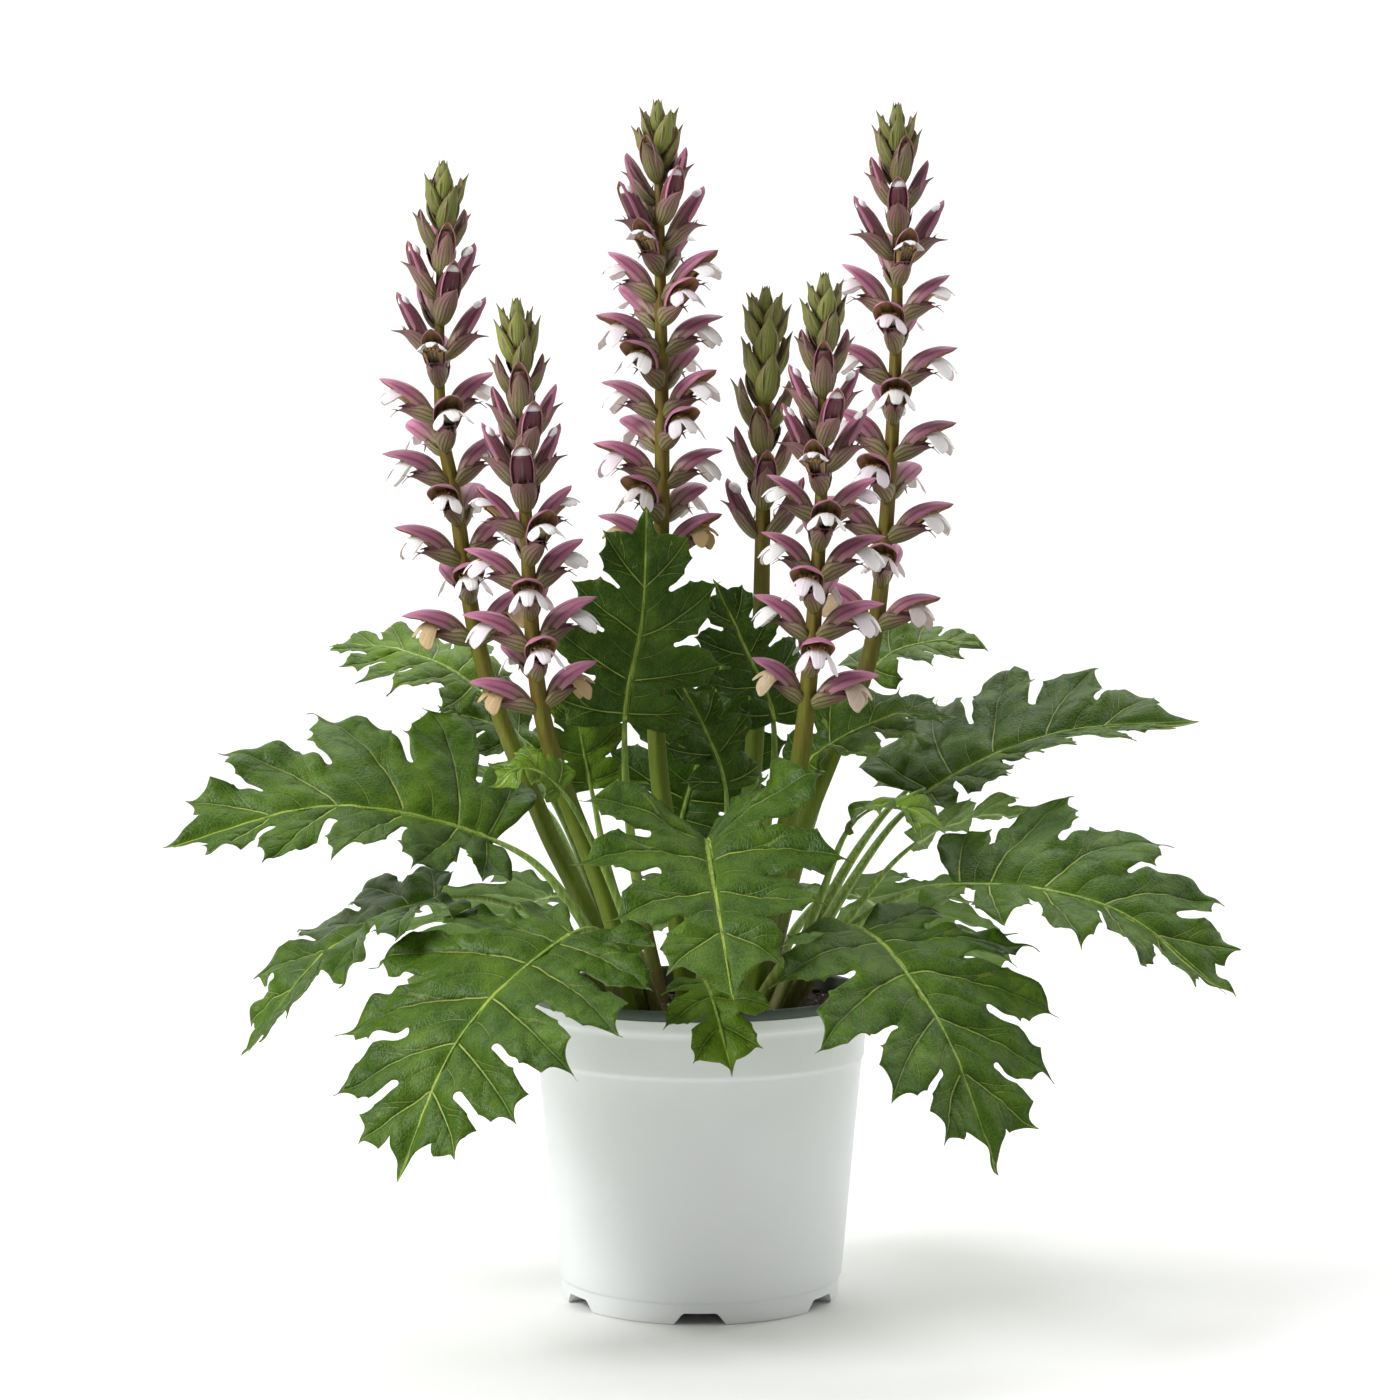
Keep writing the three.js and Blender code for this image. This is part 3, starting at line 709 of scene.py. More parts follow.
class Spine:
    """A smooth curve through rows of numbers, evenly shared between them."""

    def __init__(self, rows: Sequence[Sequence[float]]) -> None:
        """Lead the curve through the rows."""
        given = np.asarray(rows, float)
        self._rows = np.vstack([2 * given[0] - given[1], given, 2 * given[-1] - given[-2]])
        self._spans = len(given) - 1
        self._shares = np.linspace(0, 1, 201)
        steps = np.diff(self.at(self._shares)[:, :3], axis=0)
        self._lengths = np.concatenate([[0], np.cumsum(np.linalg.norm(steps, axis=1))])

    def at(self, t: np.ndarray | float) -> np.ndarray:
        """Return the rows at shares t between the first and the last of them."""
        place = np.clip(np.asarray(t, float), 0, 1) * self._spans
        span = np.minimum(place.astype(int), self._spans - 1)
        w = (place - span)[..., None]
        before, a, b, after = (self._rows[span + k] for k in range(4))
        start, end = (b - before) / 2, (after - a) / 2
        square = 3 * (b - a) - 2 * start - end
        cube = 2 * (a - b) + start + end
        return a + start * w + square * w**2 + cube * w**3

    def along(self, t: np.ndarray | float) -> np.ndarray:
        """Return the directions of the curve at shares t."""
        t = np.asarray(t, float)
        ahead = self.at(np.minimum(t + 1e-4, 1))
        return unit(ahead - self.at(np.maximum(t - 1e-4, 0)))

    def share(self, length_share: np.ndarray | float) -> np.ndarray:
        """Return the shares t that lie at shares of the curve's whole length."""
        return np.interp(
            np.asarray(length_share) * self._lengths[-1], self._lengths, self._shares,
        )


def grid_faces(rows: int, columns: int, closed: bool = False) -> np.ndarray:
    """Return the quads of a grid of points.

    Args:
        rows: How many rows it has.
        columns: How many points a row has.
        closed: Whether each row's last point is joined to its first.

    Returns:
        The corners of each quad.
    """
    index = np.arange(rows * columns).reshape(rows, columns)
    if closed:
        index = np.hstack([index, index[:, :1]])
    a, b = index[:-1, :-1], index[:-1, 1:]
    c, d = index[1:, 1:], index[1:, :-1]
    return np.stack([a, b, c, d], axis=-1).reshape(-1, 4)


def fan(first: int, count: int, tip: int, flip: bool) -> np.ndarray:
    """Return the triangles between a ring of points and one point.

    Args:
        first: The ring's first point.
        count: How many points the ring has.
        tip: The one point.
        flip: Whether the triangles face the other way.

    Returns:
        The corners of each triangle, the last of them twice.
    """
    ring = np.arange(count)
    near, far = first + ring, first + (ring + 1) % count
    if flip:
        near, far = far, near
    end = np.full(count, tip)
    return np.stack([near, far, end, end], axis=-1)


def shell_faces(rows: int, columns: int) -> tuple[np.ndarray, np.ndarray]:
    """Return the quads of a thin closed sheet: a grid, its underside and the rim between.

    Args:
        rows: How many rows the grid has.
        columns: How many points a row has.

    Returns:
        The corners of each quad, and 1 for each quad that is on the underside, else 0.
    """
    top = grid_faces(rows, columns)
    size = rows * columns
    under = top[:, ::-1] + size
    index = np.arange(size).reshape(rows, columns)
    rim = np.concatenate([
        index[0, :-1], index[:-1, -1], index[-1, :0:-1], index[:0:-1, 0],
    ])
    ahead = np.roll(rim, -1)
    wall = np.stack([ahead, rim, rim + size, ahead + size], axis=-1)
    faces = np.vstack([top, under, wall])
    is_under = np.concatenate([np.zeros(len(top)), np.ones(len(under)), np.zeros(len(wall))])
    return faces, is_under.astype(int)


def grid_normals(grid: np.ndarray) -> np.ndarray:
    """Return the normal at each point of a grid with three numbers a point."""
    down = np.gradient(grid, axis=0)
    across = np.gradient(grid, axis=1)
    return unit(np.cross(across, down))


def closed_faces(rows: int, columns: int, flip: bool = False) -> np.ndarray:
    """Return the faces of a row of rings that a point closes at each end.

    Args:
        rows: How many rings there are.
        columns: How many points a ring has.
        flip: Whether the faces look the other way.

    Returns:
        The corners of each face. The two end points are numbered after the rings.
    """
    walls = grid_faces(rows, columns, closed=True)
    size = rows * columns
    start = fan(0, columns, size, not flip)
    end = fan(size - columns, columns, size + 1, flip)
    return np.vstack([walls[:, ::-1] if flip else walls, start, end])


def tube(
    centres: np.ndarray, outs: np.ndarray, asides: np.ndarray, radii: np.ndarray, sides: int,
) -> tuple[np.ndarray, np.ndarray]:
    """Return a closed tube along a row of centres.

    Args:
        centres: The middle of each ring.
        outs: The direction from each centre to its ring's first point.
        asides: The direction a quarter turn on from it.
        radii: The radius of each ring, or of each point of each ring.
        sides: How many points a ring has.

    Returns:
        The points and the faces. The two ends are closed to a point.
    """
    count = len(centres)
    angle = np.linspace(0, 2 * math.pi, sides, endpoint=False)
    radii = np.broadcast_to(np.asarray(radii, float).reshape(count, -1), (count, sides))
    rings = (
        centres[:, None]
        + outs[:, None] * (radii * np.cos(angle))[..., None]
        + asides[:, None] * (radii * np.sin(angle))[..., None]
    )
    points = np.vstack([rings.reshape(-1, 3), centres[:1], centres[-1:]])
    return points, closed_faces(count, sides)


@dataclass(frozen=True)
class Ripple:
    """Smooth unevenness made of a few waves that run in fixed directions."""

    seed: int
    length: float
    waves: int = 7

    def at(self, x: np.ndarray, y: np.ndarray) -> np.ndarray:
        """Return the unevenness, mostly between -1 and 1, at places x, y."""
        rng = np.random.default_rng(self.seed)
        total = np.zeros(np.shape(x))
        for _ in range(self.waves):
            way = rng.uniform(0, 2 * math.pi)
            pitch = 2 * math.pi / (self.length * rng.uniform(0.7, 1.5))
            start = rng.uniform(0, 2 * math.pi)
            total = total + np.sin((x * math.cos(way) + y * math.sin(way)) * pitch + start)
        return total / math.sqrt(self.waves)


# The pot and its soil


@dataclass(frozen=True)
class Pot:
    """A tapered round nursery pot, white outside and slate grey along the lip and inside."""

    height: float = 210.0
    rim_radius: float = 116.0
    foot_radius: float = 95.0
    segments: int = 168
    floor_height: float = 7.0
    hollow: float = 5.0
    ring_width: float = 14.0
    notches: int = 6
    notch_height: float = 8.0
    notch_top: float = 23.0
    notch_foot: float = 37.0
    notch_corner: float = 1.6
    notch_play: Pair = (4.0, 10.0)
    sharp_from: float = 38.0

    def _profile(self) -> tuple[list[Pair], int]:
        """Return the wall's section from the middle of the underside, out, up and back in.

        Returns:
            The radius and height of each place, and how many of them are white.
        """
        ring, hollow = self.foot_radius - self.ring_width, self.hollow
        foot, rim, top = self.foot_radius, self.rim_radius, self.height
        white = [
            (0, hollow), (40, hollow), (ring - 2, hollow), (ring - 0.4, hollow - 0.4),
            (ring, hollow - 1), (ring, 0.8), (ring + 0.8, 0), (foot - 1.8, 0),
            (foot - 0.6, 0.4), (foot, 1.6), (foot + 0.5, 8), (95.8, 13.2),
            (96.1, 14.2), (96.9, 14.8), (97.4, 16), (98.6, 28), (102.4, 68), (106.3, 108),
            (110, 146), (111.6, 162.6), (112.2, 164.6), (113.2, 165.6), (113.5, 167.2),
            (113.5, 172), (113.8, 176), (114.3, 190), (114.5, 193), (115.3, 194.2),
            (rim - 0.1, 195.6), (rim, 198), (rim, top - 7.1), (rim - 0.3, top - 6.8),
        ]
        slate = [
            (rim - 0.5, top - 6.5), (rim - 0.1, top - 6.1), (rim, top - 5), (rim - 0.1, top - 1.4),
            (rim - 0.8, top - 0.3), (rim - 1.8, top), (rim - 2.8, top - 0.2), (rim - 3.6, top - 1),
            (rim - 3.9, top - 3), (111.6, 197), (110.2, 172), (107, 140), (93.5, 9), (92, 7.2),
            (60, self.floor_height), (0, self.floor_height),
        ]
        return white + slate, len(white)

    def _body(self) -> Skin:
        """Return the turned body."""
        places, white = self._profile()
        angle = np.linspace(0, 2 * math.pi, self.segments, endpoint=False)
        inner = np.asarray(places[1:-1])
        rings = np.stack([
            inner[:, :1] * np.cos(angle), inner[:, :1] * np.sin(angle),
            np.repeat(inner[:, 1:], self.segments, axis=1),
        ], axis=-1)
        middles = [(0, 0, places[0][1]), (0, 0, places[-1][1])]
        points = np.vstack([rings.reshape(-1, 3), middles])
        row = np.arange(len(inner) + 1)
        slate = (row >= white - 2) & (row != len(inner) - 1)
        slots = np.repeat(slate, self.segments).astype(int)
        skin = Skin()
        skin.add(points, closed_faces(len(inner), self.segments), slots)
        return skin

    def _notch_tool(self) -> bpy.types.Object:
        """Return the blocks that cut the drain notches, the first of them at the front."""
        skin = Skin()
        corner, height = self.notch_corner, self.notch_height
        half_top, half_foot = self.notch_top / 2, self.notch_foot / 2
        right = [
            (half_foot, -1.0), (half_top + corner * 0.7, height - corner),
            (half_top - corner * 0.5, height),
        ]
        section = [(-half_foot, -1.0), *right, *((-x, z) for x, z in right[:0:-1])]
        inner = self.foot_radius - self.ring_width - self.notch_play[0]
        outer = self.foot_radius + self.notch_play[1]
        for i in range(self.notches):
            turn = 2 * math.pi * i / self.notches - math.pi / 2
            out = np.array([math.cos(turn), math.sin(turn), 0])
            side = np.array([-math.sin(turn), math.cos(turn), 0])
            points = np.array([
                out * reach + side * x + np.array([0, 0, z])
                for reach in (inner, outer) for x, z in section
            ])
            count = len(section)
            ring = np.arange(count)
            ahead = (ring + 1) % count
            walls = np.stack([ring, ahead, ahead + count, ring + count], axis=-1)
            turns = range(1, count - 1)
            near = np.array([[0, k + 1, k, k] for k in turns])
            far = np.array([[0, k, k + 1, k + 1] for k in turns]) + count
            skin.add(points, np.vstack([walls, near, far]))
        return skin.piece("notch_tool", [Finish.POT_WHITE])

    def build(self) -> None:
        """Make the pot and put it in the place of its solid."""
        pot = self._body().piece("pot_shell", [Finish.POT_WHITE, Finish.POT_SLATE])
        tool = self._notch_tool()
        cut = pot.modifiers.new("notches", "BOOLEAN")
        cut.operation = "DIFFERENCE"
        cut.solver = "EXACT"
        cut.object = tool
        bpy.context.view_layer.update()
        graph = bpy.context.evaluated_depsgraph_get()
        mesh = bpy.data.meshes.new_from_object(pot.evaluated_get(graph))
        pot.modifiers.clear()
        pot.data = mesh
        bpy.data.objects.remove(tool)
        mesh.set_sharp_from_angle(angle=math.radians(self.sharp_from))
        stand_for(pot, "pot")


@dataclass(frozen=True)
class Soil:
    """Lumpy compost that fills the pot to just below its lip, with bark and grit in it."""

    level: float = 197.0
    radius: float = 111.2
    foot_radius: float = 92.4
    foot: float = 7.3
    lump: float = 2.2
    spacing: float = 2.3
    sides: int = 300
    walls: tuple[Pair, ...] = ((110.0, 172.0), (102.0, 90.0))
    bark: int = 420
    grit: int = 150
    bark_sizes: Pair = (1.2, 4.2)
    grit_sizes: Pair = (0.7, 1.6)
    bark_flatness: float = 0.45
    grit_flatness: float = 0.8
    clear_of_wall: float = 5.0

    def _lumps(self, x: np.ndarray, y: np.ndarray) -> np.ndarray:
        """Return the height of the soil above its level."""
        broad = np.sin(x * 0.11 + 1.3) * np.cos(y * 0.13) + 0.5 * np.sin((x - y) * 0.21)
        crumbs = Ripple(11, 9.0, 9).at(x, y) * 0.9 + Ripple(12, 4.6, 9).at(x, y) * 0.55
        return self.lump * broad + crumbs

    def _height(self, x: float, y: float) -> float:
        """Return the height of the soil's top at one place."""
        return self.level + float(self._lumps(np.array([x]), np.array([y]))[0])

    def _ground(self, skin: Skin) -> None:
        """Add the body of the soil, with its crumbly top."""
        rings = int(self.radius / self.spacing)
        radii = np.linspace(self.spacing, self.radius, rings)
        angle = np.linspace(0, 2 * math.pi, self.sides, endpoint=False)
        x, y = radii[:, None] * np.cos(angle), radii[:, None] * np.sin(angle)
        top = np.stack([x, y, self.level + self._lumps(x, y)], axis=-1)
        walls = [*self.walls, (self.foot_radius, self.foot)]
        lower = np.array([
            [(r * math.cos(a), r * math.sin(a), z) for a in angle] for r, z in walls
        ])
        grid = np.concatenate([top, lower]).reshape(-1, 3)
        middles = [(0, 0, self._height(0, 0)), (0, 0, self.foot)]
        faces = closed_faces(rings + len(walls), self.sides, flip=True)
        skin.add(np.vstack([grid, middles]), faces)

    def _bits(
        self, skin: Skin, count: int, size: Pair, flatness: float, slot: int, seed: int,
    ) -> None:
        """Scatter small rough stones or chips that sit half in the soil.

        Args:
            skin: Where they are added.
            count: How many there are.
            size: Their smallest and largest half length.
            flatness: Their thickness as a share of their width.
            slot: Their finish.
            seed: What fixes their places.
        """
        rng = np.random.default_rng(seed)
        columns = 7
        angle = np.linspace(0, 2 * math.pi, columns, endpoint=False)
        tilt = np.array([[-0.85], [0.0], [0.85]])
        ball = np.stack([
            np.cos(tilt) * np.cos(angle), np.cos(tilt) * np.sin(angle), np.sin(tilt) + 0 * angle,
        ], axis=-1).reshape(-1, 3)
        ball = np.vstack([ball, [[0, 0, -1]], [[0, 0, 1]]])
        faces = closed_faces(len(tilt), columns)
        for _ in range(count):
            reach = (self.radius - self.clear_of_wall) * math.sqrt(rng.uniform(0, 1))
            turn = rng.uniform(0, 2 * math.pi)
            x, y = reach * math.cos(turn), reach * math.sin(turn)
            half = rng.uniform(*size)
            shape = ball * rng.uniform(0.72, 1.2, (len(ball), 1))
            shape = shape * half * np.array([1.0, rng.uniform(0.5, 0.9), flatness])
            spin = rng.normal(size=(3, 3)) * 0.35 + np.eye(3)
            frame_of, _ = np.linalg.qr(spin)
            yaw = rng.uniform(0, 2 * math.pi)
            c, s = math.cos(yaw), math.sin(yaw)
            turned = shape @ (frame_of * np.sign(np.linalg.det(frame_of))).T
            turned = turned @ np.array([[c, s, 0], [-s, c, 0], [0, 0, 1]])
            height = self._height(x, y) + half * flatness * 0.3
            skin.add(turned + np.array([x, y, height]), faces, slot)

    def build(self) -> None:
        """Make the soil and put it in the place of its solid."""
        skin = Skin()
        self._ground(skin)
        self._bits(skin, self.bark, self.bark_sizes, self.bark_flatness, 1, 21)
        self._bits(skin, self.grit, self.grit_sizes, self.grit_flatness, 2, 22)
        finishes = [Finish.COMPOST, Finish.BARK, Finish.GRIT]
        stand_for(skin.piece("compost_top", finishes), "soil")


# The leaves


@dataclass(frozen=True)
class Lobes:
    """One side of a blade, in shares of its length: where each lobe's vein starts and ends."""

    roots: tuple[float, ...]
    tips: tuple[Pair, ...]


class Pattern(Enum):
    """The ways in which the blades are lobed."""

    LONG = Lobes(
        (0.02, 0.1, 0.22, 0.37, 0.54, 0.71),
        ((-0.06, 0.27), (0.16, 0.44), (0.38, 0.51), (0.59, 0.45), (0.77, 0.32), (0.91, 0.17)),
    )
    BROAD = Lobes(
        (0.03, 0.13, 0.29, 0.48, 0.68),
        ((0.0, 0.34), (0.27, 0.5), (0.53, 0.46), (0.75, 0.32), (0.9, 0.16)),
    )
    MIDDLING = Lobes(
        (0.03, 0.18, 0.4, 0.63),
        ((0.06, 0.36), (0.37, 0.48), (0.67, 0.4), (0.88, 0.22)),
    )
    SHORT = Lobes((0.04, 0.26, 0.56), ((0.12, 0.4), (0.52, 0.46), (0.83, 0.28)))
    SPREAD = Lobes(
        (0.02, 0.1, 0.24, 0.43, 0.65),
        ((-0.14, 0.36), (0.08, 0.52), (0.33, 0.5), (0.58, 0.36), (0.81, 0.19)),
    )


@dataclass
class Vein:
    """One vein on the flat blade, as a line that thins from its start to its end."""

    line: np.ndarray
    start_half: float
    end_half: float

    def beyond(self, places: np.ndarray) -> np.ndarray:
        """Return how far each place is beyond the vein's own edge."""
        a, b = self.line[:-1], self.line[1:]
        way = b - a
        reach = places[:, None] - a
        share = np.clip(np.sum(reach * way, -1) / np.maximum(np.sum(way * way, -1), 1e-9), 0, 1)
        off = np.linalg.norm(reach - way * share[..., None], axis=-1)
        steps = (np.arange(len(a)) + share) / len(a)
        half = self.start_half + (self.end_half - self.start_half) * steps
        return (off - half).min(axis=1)

    def tilt(self, places: np.ndarray) -> np.ndarray:
        """Return how far each place lies to the left of the vein, fading away from its end."""
        start, end = self.line[0], self.line[-1]
        way = end - start
        length = float(np.linalg.norm(way))
        reach = places - start
        share = np.clip(reach @ way / length**2, 0, 1.1)
        offset = (way[0] * reach[:, 1] - way[1] * reach[:, 0]) / length
        return offset * np.exp(-((offset / (0.25 * length)) ** 2)) * share**1.5

    def points(self, spacing: float) -> np.ndarray:
        """Return places along the vein about this far apart."""
        steps = np.linalg.norm(np.diff(self.line, axis=0), axis=1)
        lengths = np.concatenate([[0], np.cumsum(steps)])
        at = np.linspace(0, lengths[-1], max(2, int(lengths[-1] / spacing) + 1))
        return np.stack([np.interp(at, lengths, self.line[:, k]) for k in range(2)], axis=-1)


def bowed(a: np.ndarray, b: np.ndarray, bow: float, spacing: float) -> np.ndarray:
    """Return places from a to b on an arc that bows to the left of its way, without b.

    Args:
        a: The start.
        b: The end.
        bow: The depth of the arc as a share of its chord.
        spacing: How far apart the places are.

    Returns:
        One place a row.
    """
    way = b - a
    left = np.array([-way[1], way[0]])
    steps = max(2, int(np.linalg.norm(way) / spacing))
    share = np.linspace(0, 1, steps, endpoint=False)[:, None]
    return a + way * share + left * (4 * bow * share * (1 - share))


def arched(
    a: np.ndarray, b: np.ndarray, c: np.ndarray, d: np.ndarray, spacing: float,
) -> np.ndarray:
    """Return places on a curve from a to d that is drawn towards b and c, without d.

    Args:
        a: The start.
        b: What draws the start.
        c: What draws the end.
        d: The end.
        spacing: How far apart the places are.

    Returns:
        One place a row.
    """
    steps = max(3, int(np.linalg.norm(d - a) / spacing))
    t = np.linspace(0, 1, steps, endpoint=False)[:, None]
    return a * (1 - t) ** 3 + b * 3 * t * (1 - t) ** 2 + c * 3 * t**2 * (1 - t) + d * t**3


def swell(away: np.ndarray, rise: Pair) -> np.ndarray:
    """Return how high a surface has risen at a distance from a vein.

    Args:
        away: The distance.
        rise: The full height, and the distance that it takes.

    Returns:
        The height.
    """
    return rise[0] * (1 - np.exp(-np.maximum(away, 0) / rise[1]))


@dataclass(frozen=True)
class Leaf:
    """A lobed leaf on its stalk. face is the way that its upper side looks."""

    name: str
    pattern: Pattern
    face: Triple
    soil: Pair
    stalk_middle: Triple
    foot: Triple
    middle: Triple
    tip: Triple
    sides: Pair = (1.0, 1.0)
    fold: float = 12.0
    cup: float = 0.0
    wave: float = 14.0
    stalk: float = 3.4
    tone: float = 0.35
    curl: float = 0.35
    thickness: float = 0.7
    root_height: float = 183.0
    gap_share: float = 0.42
    gap_halves: Pair = (1.5, 3.0)
    tooth_bow: float = -0.18
    outline_step: float = 2.2
    gap_step: float = 2.4
    vein_step: float = 4.2
    net_pitch: float = 5.2
    join: float = 2.4
    bulge: Pair = (4.2, 9.0)
    small_bulge: Pair = (1.5, 3.2)
    ruffle: Pair = (2.8, 9.0)
    crease: float = 0.35
    keel: float = 0.5
    twist: float = 0.3
    settle: float = 2.6
    stalk_sides: int = 12

    @property
    def length(self) -> float:
        """Return the blade's length along its midrib."""
        foot, middle, tip = (np.array(p) for p in (self.foot, self.middle, self.tip))
        return float(np.linalg.norm(foot - middle) + np.linalg.norm(middle - tip))

    @property
    def scale(self) -> float:
        """Return the blade's length as a share of a common one's."""
        return self.length / 200

    @property
    def seed(self) -> int:
        """Return the number that fixes this leaf's small irregularities."""
        return 1000 + sum(ord(letter) * (k + 3) for k, letter in enumerate(self.name))

    def _curve(self) -> Spine:
        """Return the curve from the root through the stalk to the blade's tip."""
        start = (*self.soil, self.root_height)
        return Spine([start, self.stalk_middle, self.foot, self.middle, self.tip])

    def _lobe_points(self, side: int, rng: np.random.Generator) -> dict[str, list[np.ndarray]]:
        """Return the places that fix one side's outline, in millimetres on the flat blade.

        Args:
            side: 1 for the left side, -1 for the right.
            rng: The source of the small irregularities.

        Returns:
            The root, tip, near tooth and far tooth of each lobe, and the gaps' inner ends.
        """
        lobes = self.pattern.value
        width = self.length * self.sides[0 if side > 0 else 1]
        full = np.array([self.length, width])
        count = len(lobes.roots)
        roots = [np.array([root, 0.0]) for root in lobes.roots]
        tips = [np.array(tip) + rng.uniform(-0.008, 0.008, 2) for tip in lobes.tips]

        def tooth(i: int, along: float, aside: float) -> np.ndarray:
            """Return the end of a tooth beside the vein of lobe i."""
            vein = tips[i] - roots[i]
            left = np.array([vein[1], -vein[0]]) / np.linalg.norm(vein)
            return roots[i] + vein * (along + rng.uniform(-0.03, 0.03)) + left * aside

        def deep(i: int) -> np.ndarray:
            """Return the inner end of the gap before lobe i."""
            if i == 0:
                return np.array([-0.015, 0.03])
            if i == count:
                return np.array([0.87, 0.075])
            ends = [roots[k] + (tips[k] - roots[k]) * self.gap_share for k in (i - 1, i)]
            return (ends[0] + ends[1]) / 2

        return {
            "roots": [root * full for root in roots],
            "tips": [tip * full for tip in tips],
            "near": [tooth(i, 0.79, -0.084) * full for i in range(count)],
            "far": [tooth(i, 0.82, 0.056) * full for i in range(count)],
            "deep": [deep(i) * full for i in range(count + 1)],
        }

    def _gap(
        self, far: np.ndarray, deep: np.ndarray, near: np.ndarray, rng: np.random.Generator,
    ) -> tuple[list, np.ndarray]:
        """Return the outline of the gap between two lobes.

        Args:
            far: The tooth before the gap.
            deep: The gap's inner end.
            near: The tooth after it.
            rng: The source of the small irregularities.

        Returns:
            The rows of places from the one tooth to the other, and the spur on the way out.
        """
        axis = unit((far + near) / 2 - deep)
        left = np.array([axis[1], -axis[0]])
        left = left * np.sign(np.dot(far - deep, left))
        half = rng.uniform(*self.gap_halves) * self.scale
        centre = deep + axis * half
        inner, outer = centre + left * half, centre - left * half
        reach = float(np.linalg.norm(far - deep))
        turn = np.linspace(0, math.pi, 7, endpoint=False)[:, None]
        bend = centre + left * half * np.cos(turn) - axis * half * np.sin(turn)
        sides = []
        for tooth, foot, way in ((far, inner, left), (near, outer, -left)):
            open_by = max(float(np.dot(tooth - foot, way)), 0.0)
            shoulder = tooth - axis * reach * 0.3 - way * open_by * 0.42
            throat = foot + axis * reach * 0.4 - way * half * rng.uniform(0.1, 0.9)
            sides.append(arched(tooth, shoulder, throat, foot, self.gap_step))
        rows = []
        spurs = []
        for row, way, share, most in (
            (sides[0], -left, 0.4, 3.2),
            (np.vstack([outer, sides[1][:0:-1]]), left, 0.55, 4.6),
        ):
            at = int(len(row) * share)
            clear = -float(np.dot(row[at] - deep, way))
            rise = min(max(clear - half * 0.5, 0) * 0.6, most * self.scale)
            spur = row[at] + way * rise + axis * rise * 0.5
            shaped = row.copy()
            shaped[at - 1] += way * rise * 0.35
            shaped[at + 1] += way * rise * 0.2
            shaped[at] = spur
            rows.append(shaped)
            spurs.append(spur)
        return [rows[0], bend, rows[1]], spurs[1]

    def _half_outline(self, side: int, rng: np.random.Generator) -> tuple[list, list, list]:
        """Return one side's outline from the foot to the tip, and its veins.

        Args:
            side: 1 for the left side, -1 for the right.
            rng: The source of the small irregularities.

        Returns:
            Rows of places with the side's own direction positive, its main veins and its small
            ones likewise.
        """
        at = self._lobe_points(side, rng)
        roots, tips, near, far, deep = (at[k] for k in ("roots", "tips", "near", "far", "deep"))
        count = len(roots)
        start, end = deep[0], near[0]
        first = arched(
            start, start + (end - start) * 0.4 + np.array([-0.03, 0.02]) * self.length,
            end + (start - end) * 0.3 + np.array([-0.03, 0.0]) * self.length, end, self.gap_step,
        )
        outline = [np.array([[0.0, 0.0]]), first]
        main, small = [], []
        ends = [[] for _ in range(count)]
        for i in range(count):
            for a, b in ((near[i], tips[i]), (tips[i], far[i])):
                outline.append(bowed(a, b, self.tooth_bow, self.outline_step))
            ends[i] += [(0.4, near[i]), (0.48, far[i])]
            if i + 1 < count:
                rows, spur = self._gap(far[i], deep[i + 1], near[i + 1], rng)
                outline += rows
                ends[i + 1].append((0.2, spur))
                mean = (roots[i] + roots[i + 1]) / 2
                stop = mean + (deep[i + 1] - mean) * 0.86
                small.append(Vein(np.vstack([bowed(mean, stop, 0.08, 3.0), stop]), 0.3, 0.06))
            else:
                outline.append(bowed(far[i], deep[-1], 0.05, self.outline_step))
        end = np.array([self.length, 0.0])
        outline.append(bowed(deep[-1], end, -0.05, self.outline_step))
        for i in range(count):
            line = np.vstack([bowed(roots[i], tips[i], 0.035, 3.0), tips[i]])
            main.append(Vein(line, 0.42 * self.scale + 0.08, 0.1))
            for k, (share, end) in enumerate(ends[i]):
                start = line[int(share * (len(line) - 1))]
                bow = 0.07 if k == 1 else -0.07
                small.append(Vein(np.vstack([bowed(start, end, bow, 3.0), end]), 0.24, 0.05))
            for share, side_of in ((0.3, 1), (0.62, 1), (0.66, -1)):
                start = line[int(share * (len(line) - 1))]
                way = unit(tips[i] - roots[i])
                aside = np.array([way[1], -way[0]]) * side_of
                end = start + (way * 0.8 + aside * 0.75) * self.length * 0.055
                branch = np.vstack([bowed(start, end, 0.08 * side_of, 3.0), end])
                small.append(Vein(branch, 0.18, 0.04))
        return outline, main, small

    def _flat(self) -> tuple[np.ndarray, list[Vein], list[Vein], Vein]:
        """Return the blade's flat outline, its side veins, its small veins and its midrib."""
        rng = np.random.default_rng(self.seed)
        halves = [self._half_outline(side, rng) for side in (1, -1)]
        left = np.vstack(halves[0][0])
        right = np.vstack(halves[1][0])[1:] * np.array([1, -1])
        tip = np.array([[self.length, 0.0]])
        outline = np.vstack([left, tip, right[::-1]])
        x, y = outline[:, 0], outline[:, 1]
        wobble = [Ripple(self.seed + k, 17).at(x, y) for k in (5, 6)]
        outline = outline + 0.5 * np.stack(wobble, axis=-1)
        for (_, *veins), flip in zip(halves, (1, -1)):
            for vein in (*veins[0], *veins[1]):
                vein.line = vein.line * np.array([1, flip])
        side_veins, small_veins = (halves[0][k] + halves[1][k] for k in (1, 2))
        midrib = Vein(np.array([[0.0, 0.0], [self.length, 0.0]]), self.stalk * 0.46, 0.22)
        return outline, side_veins, small_veins, midrib

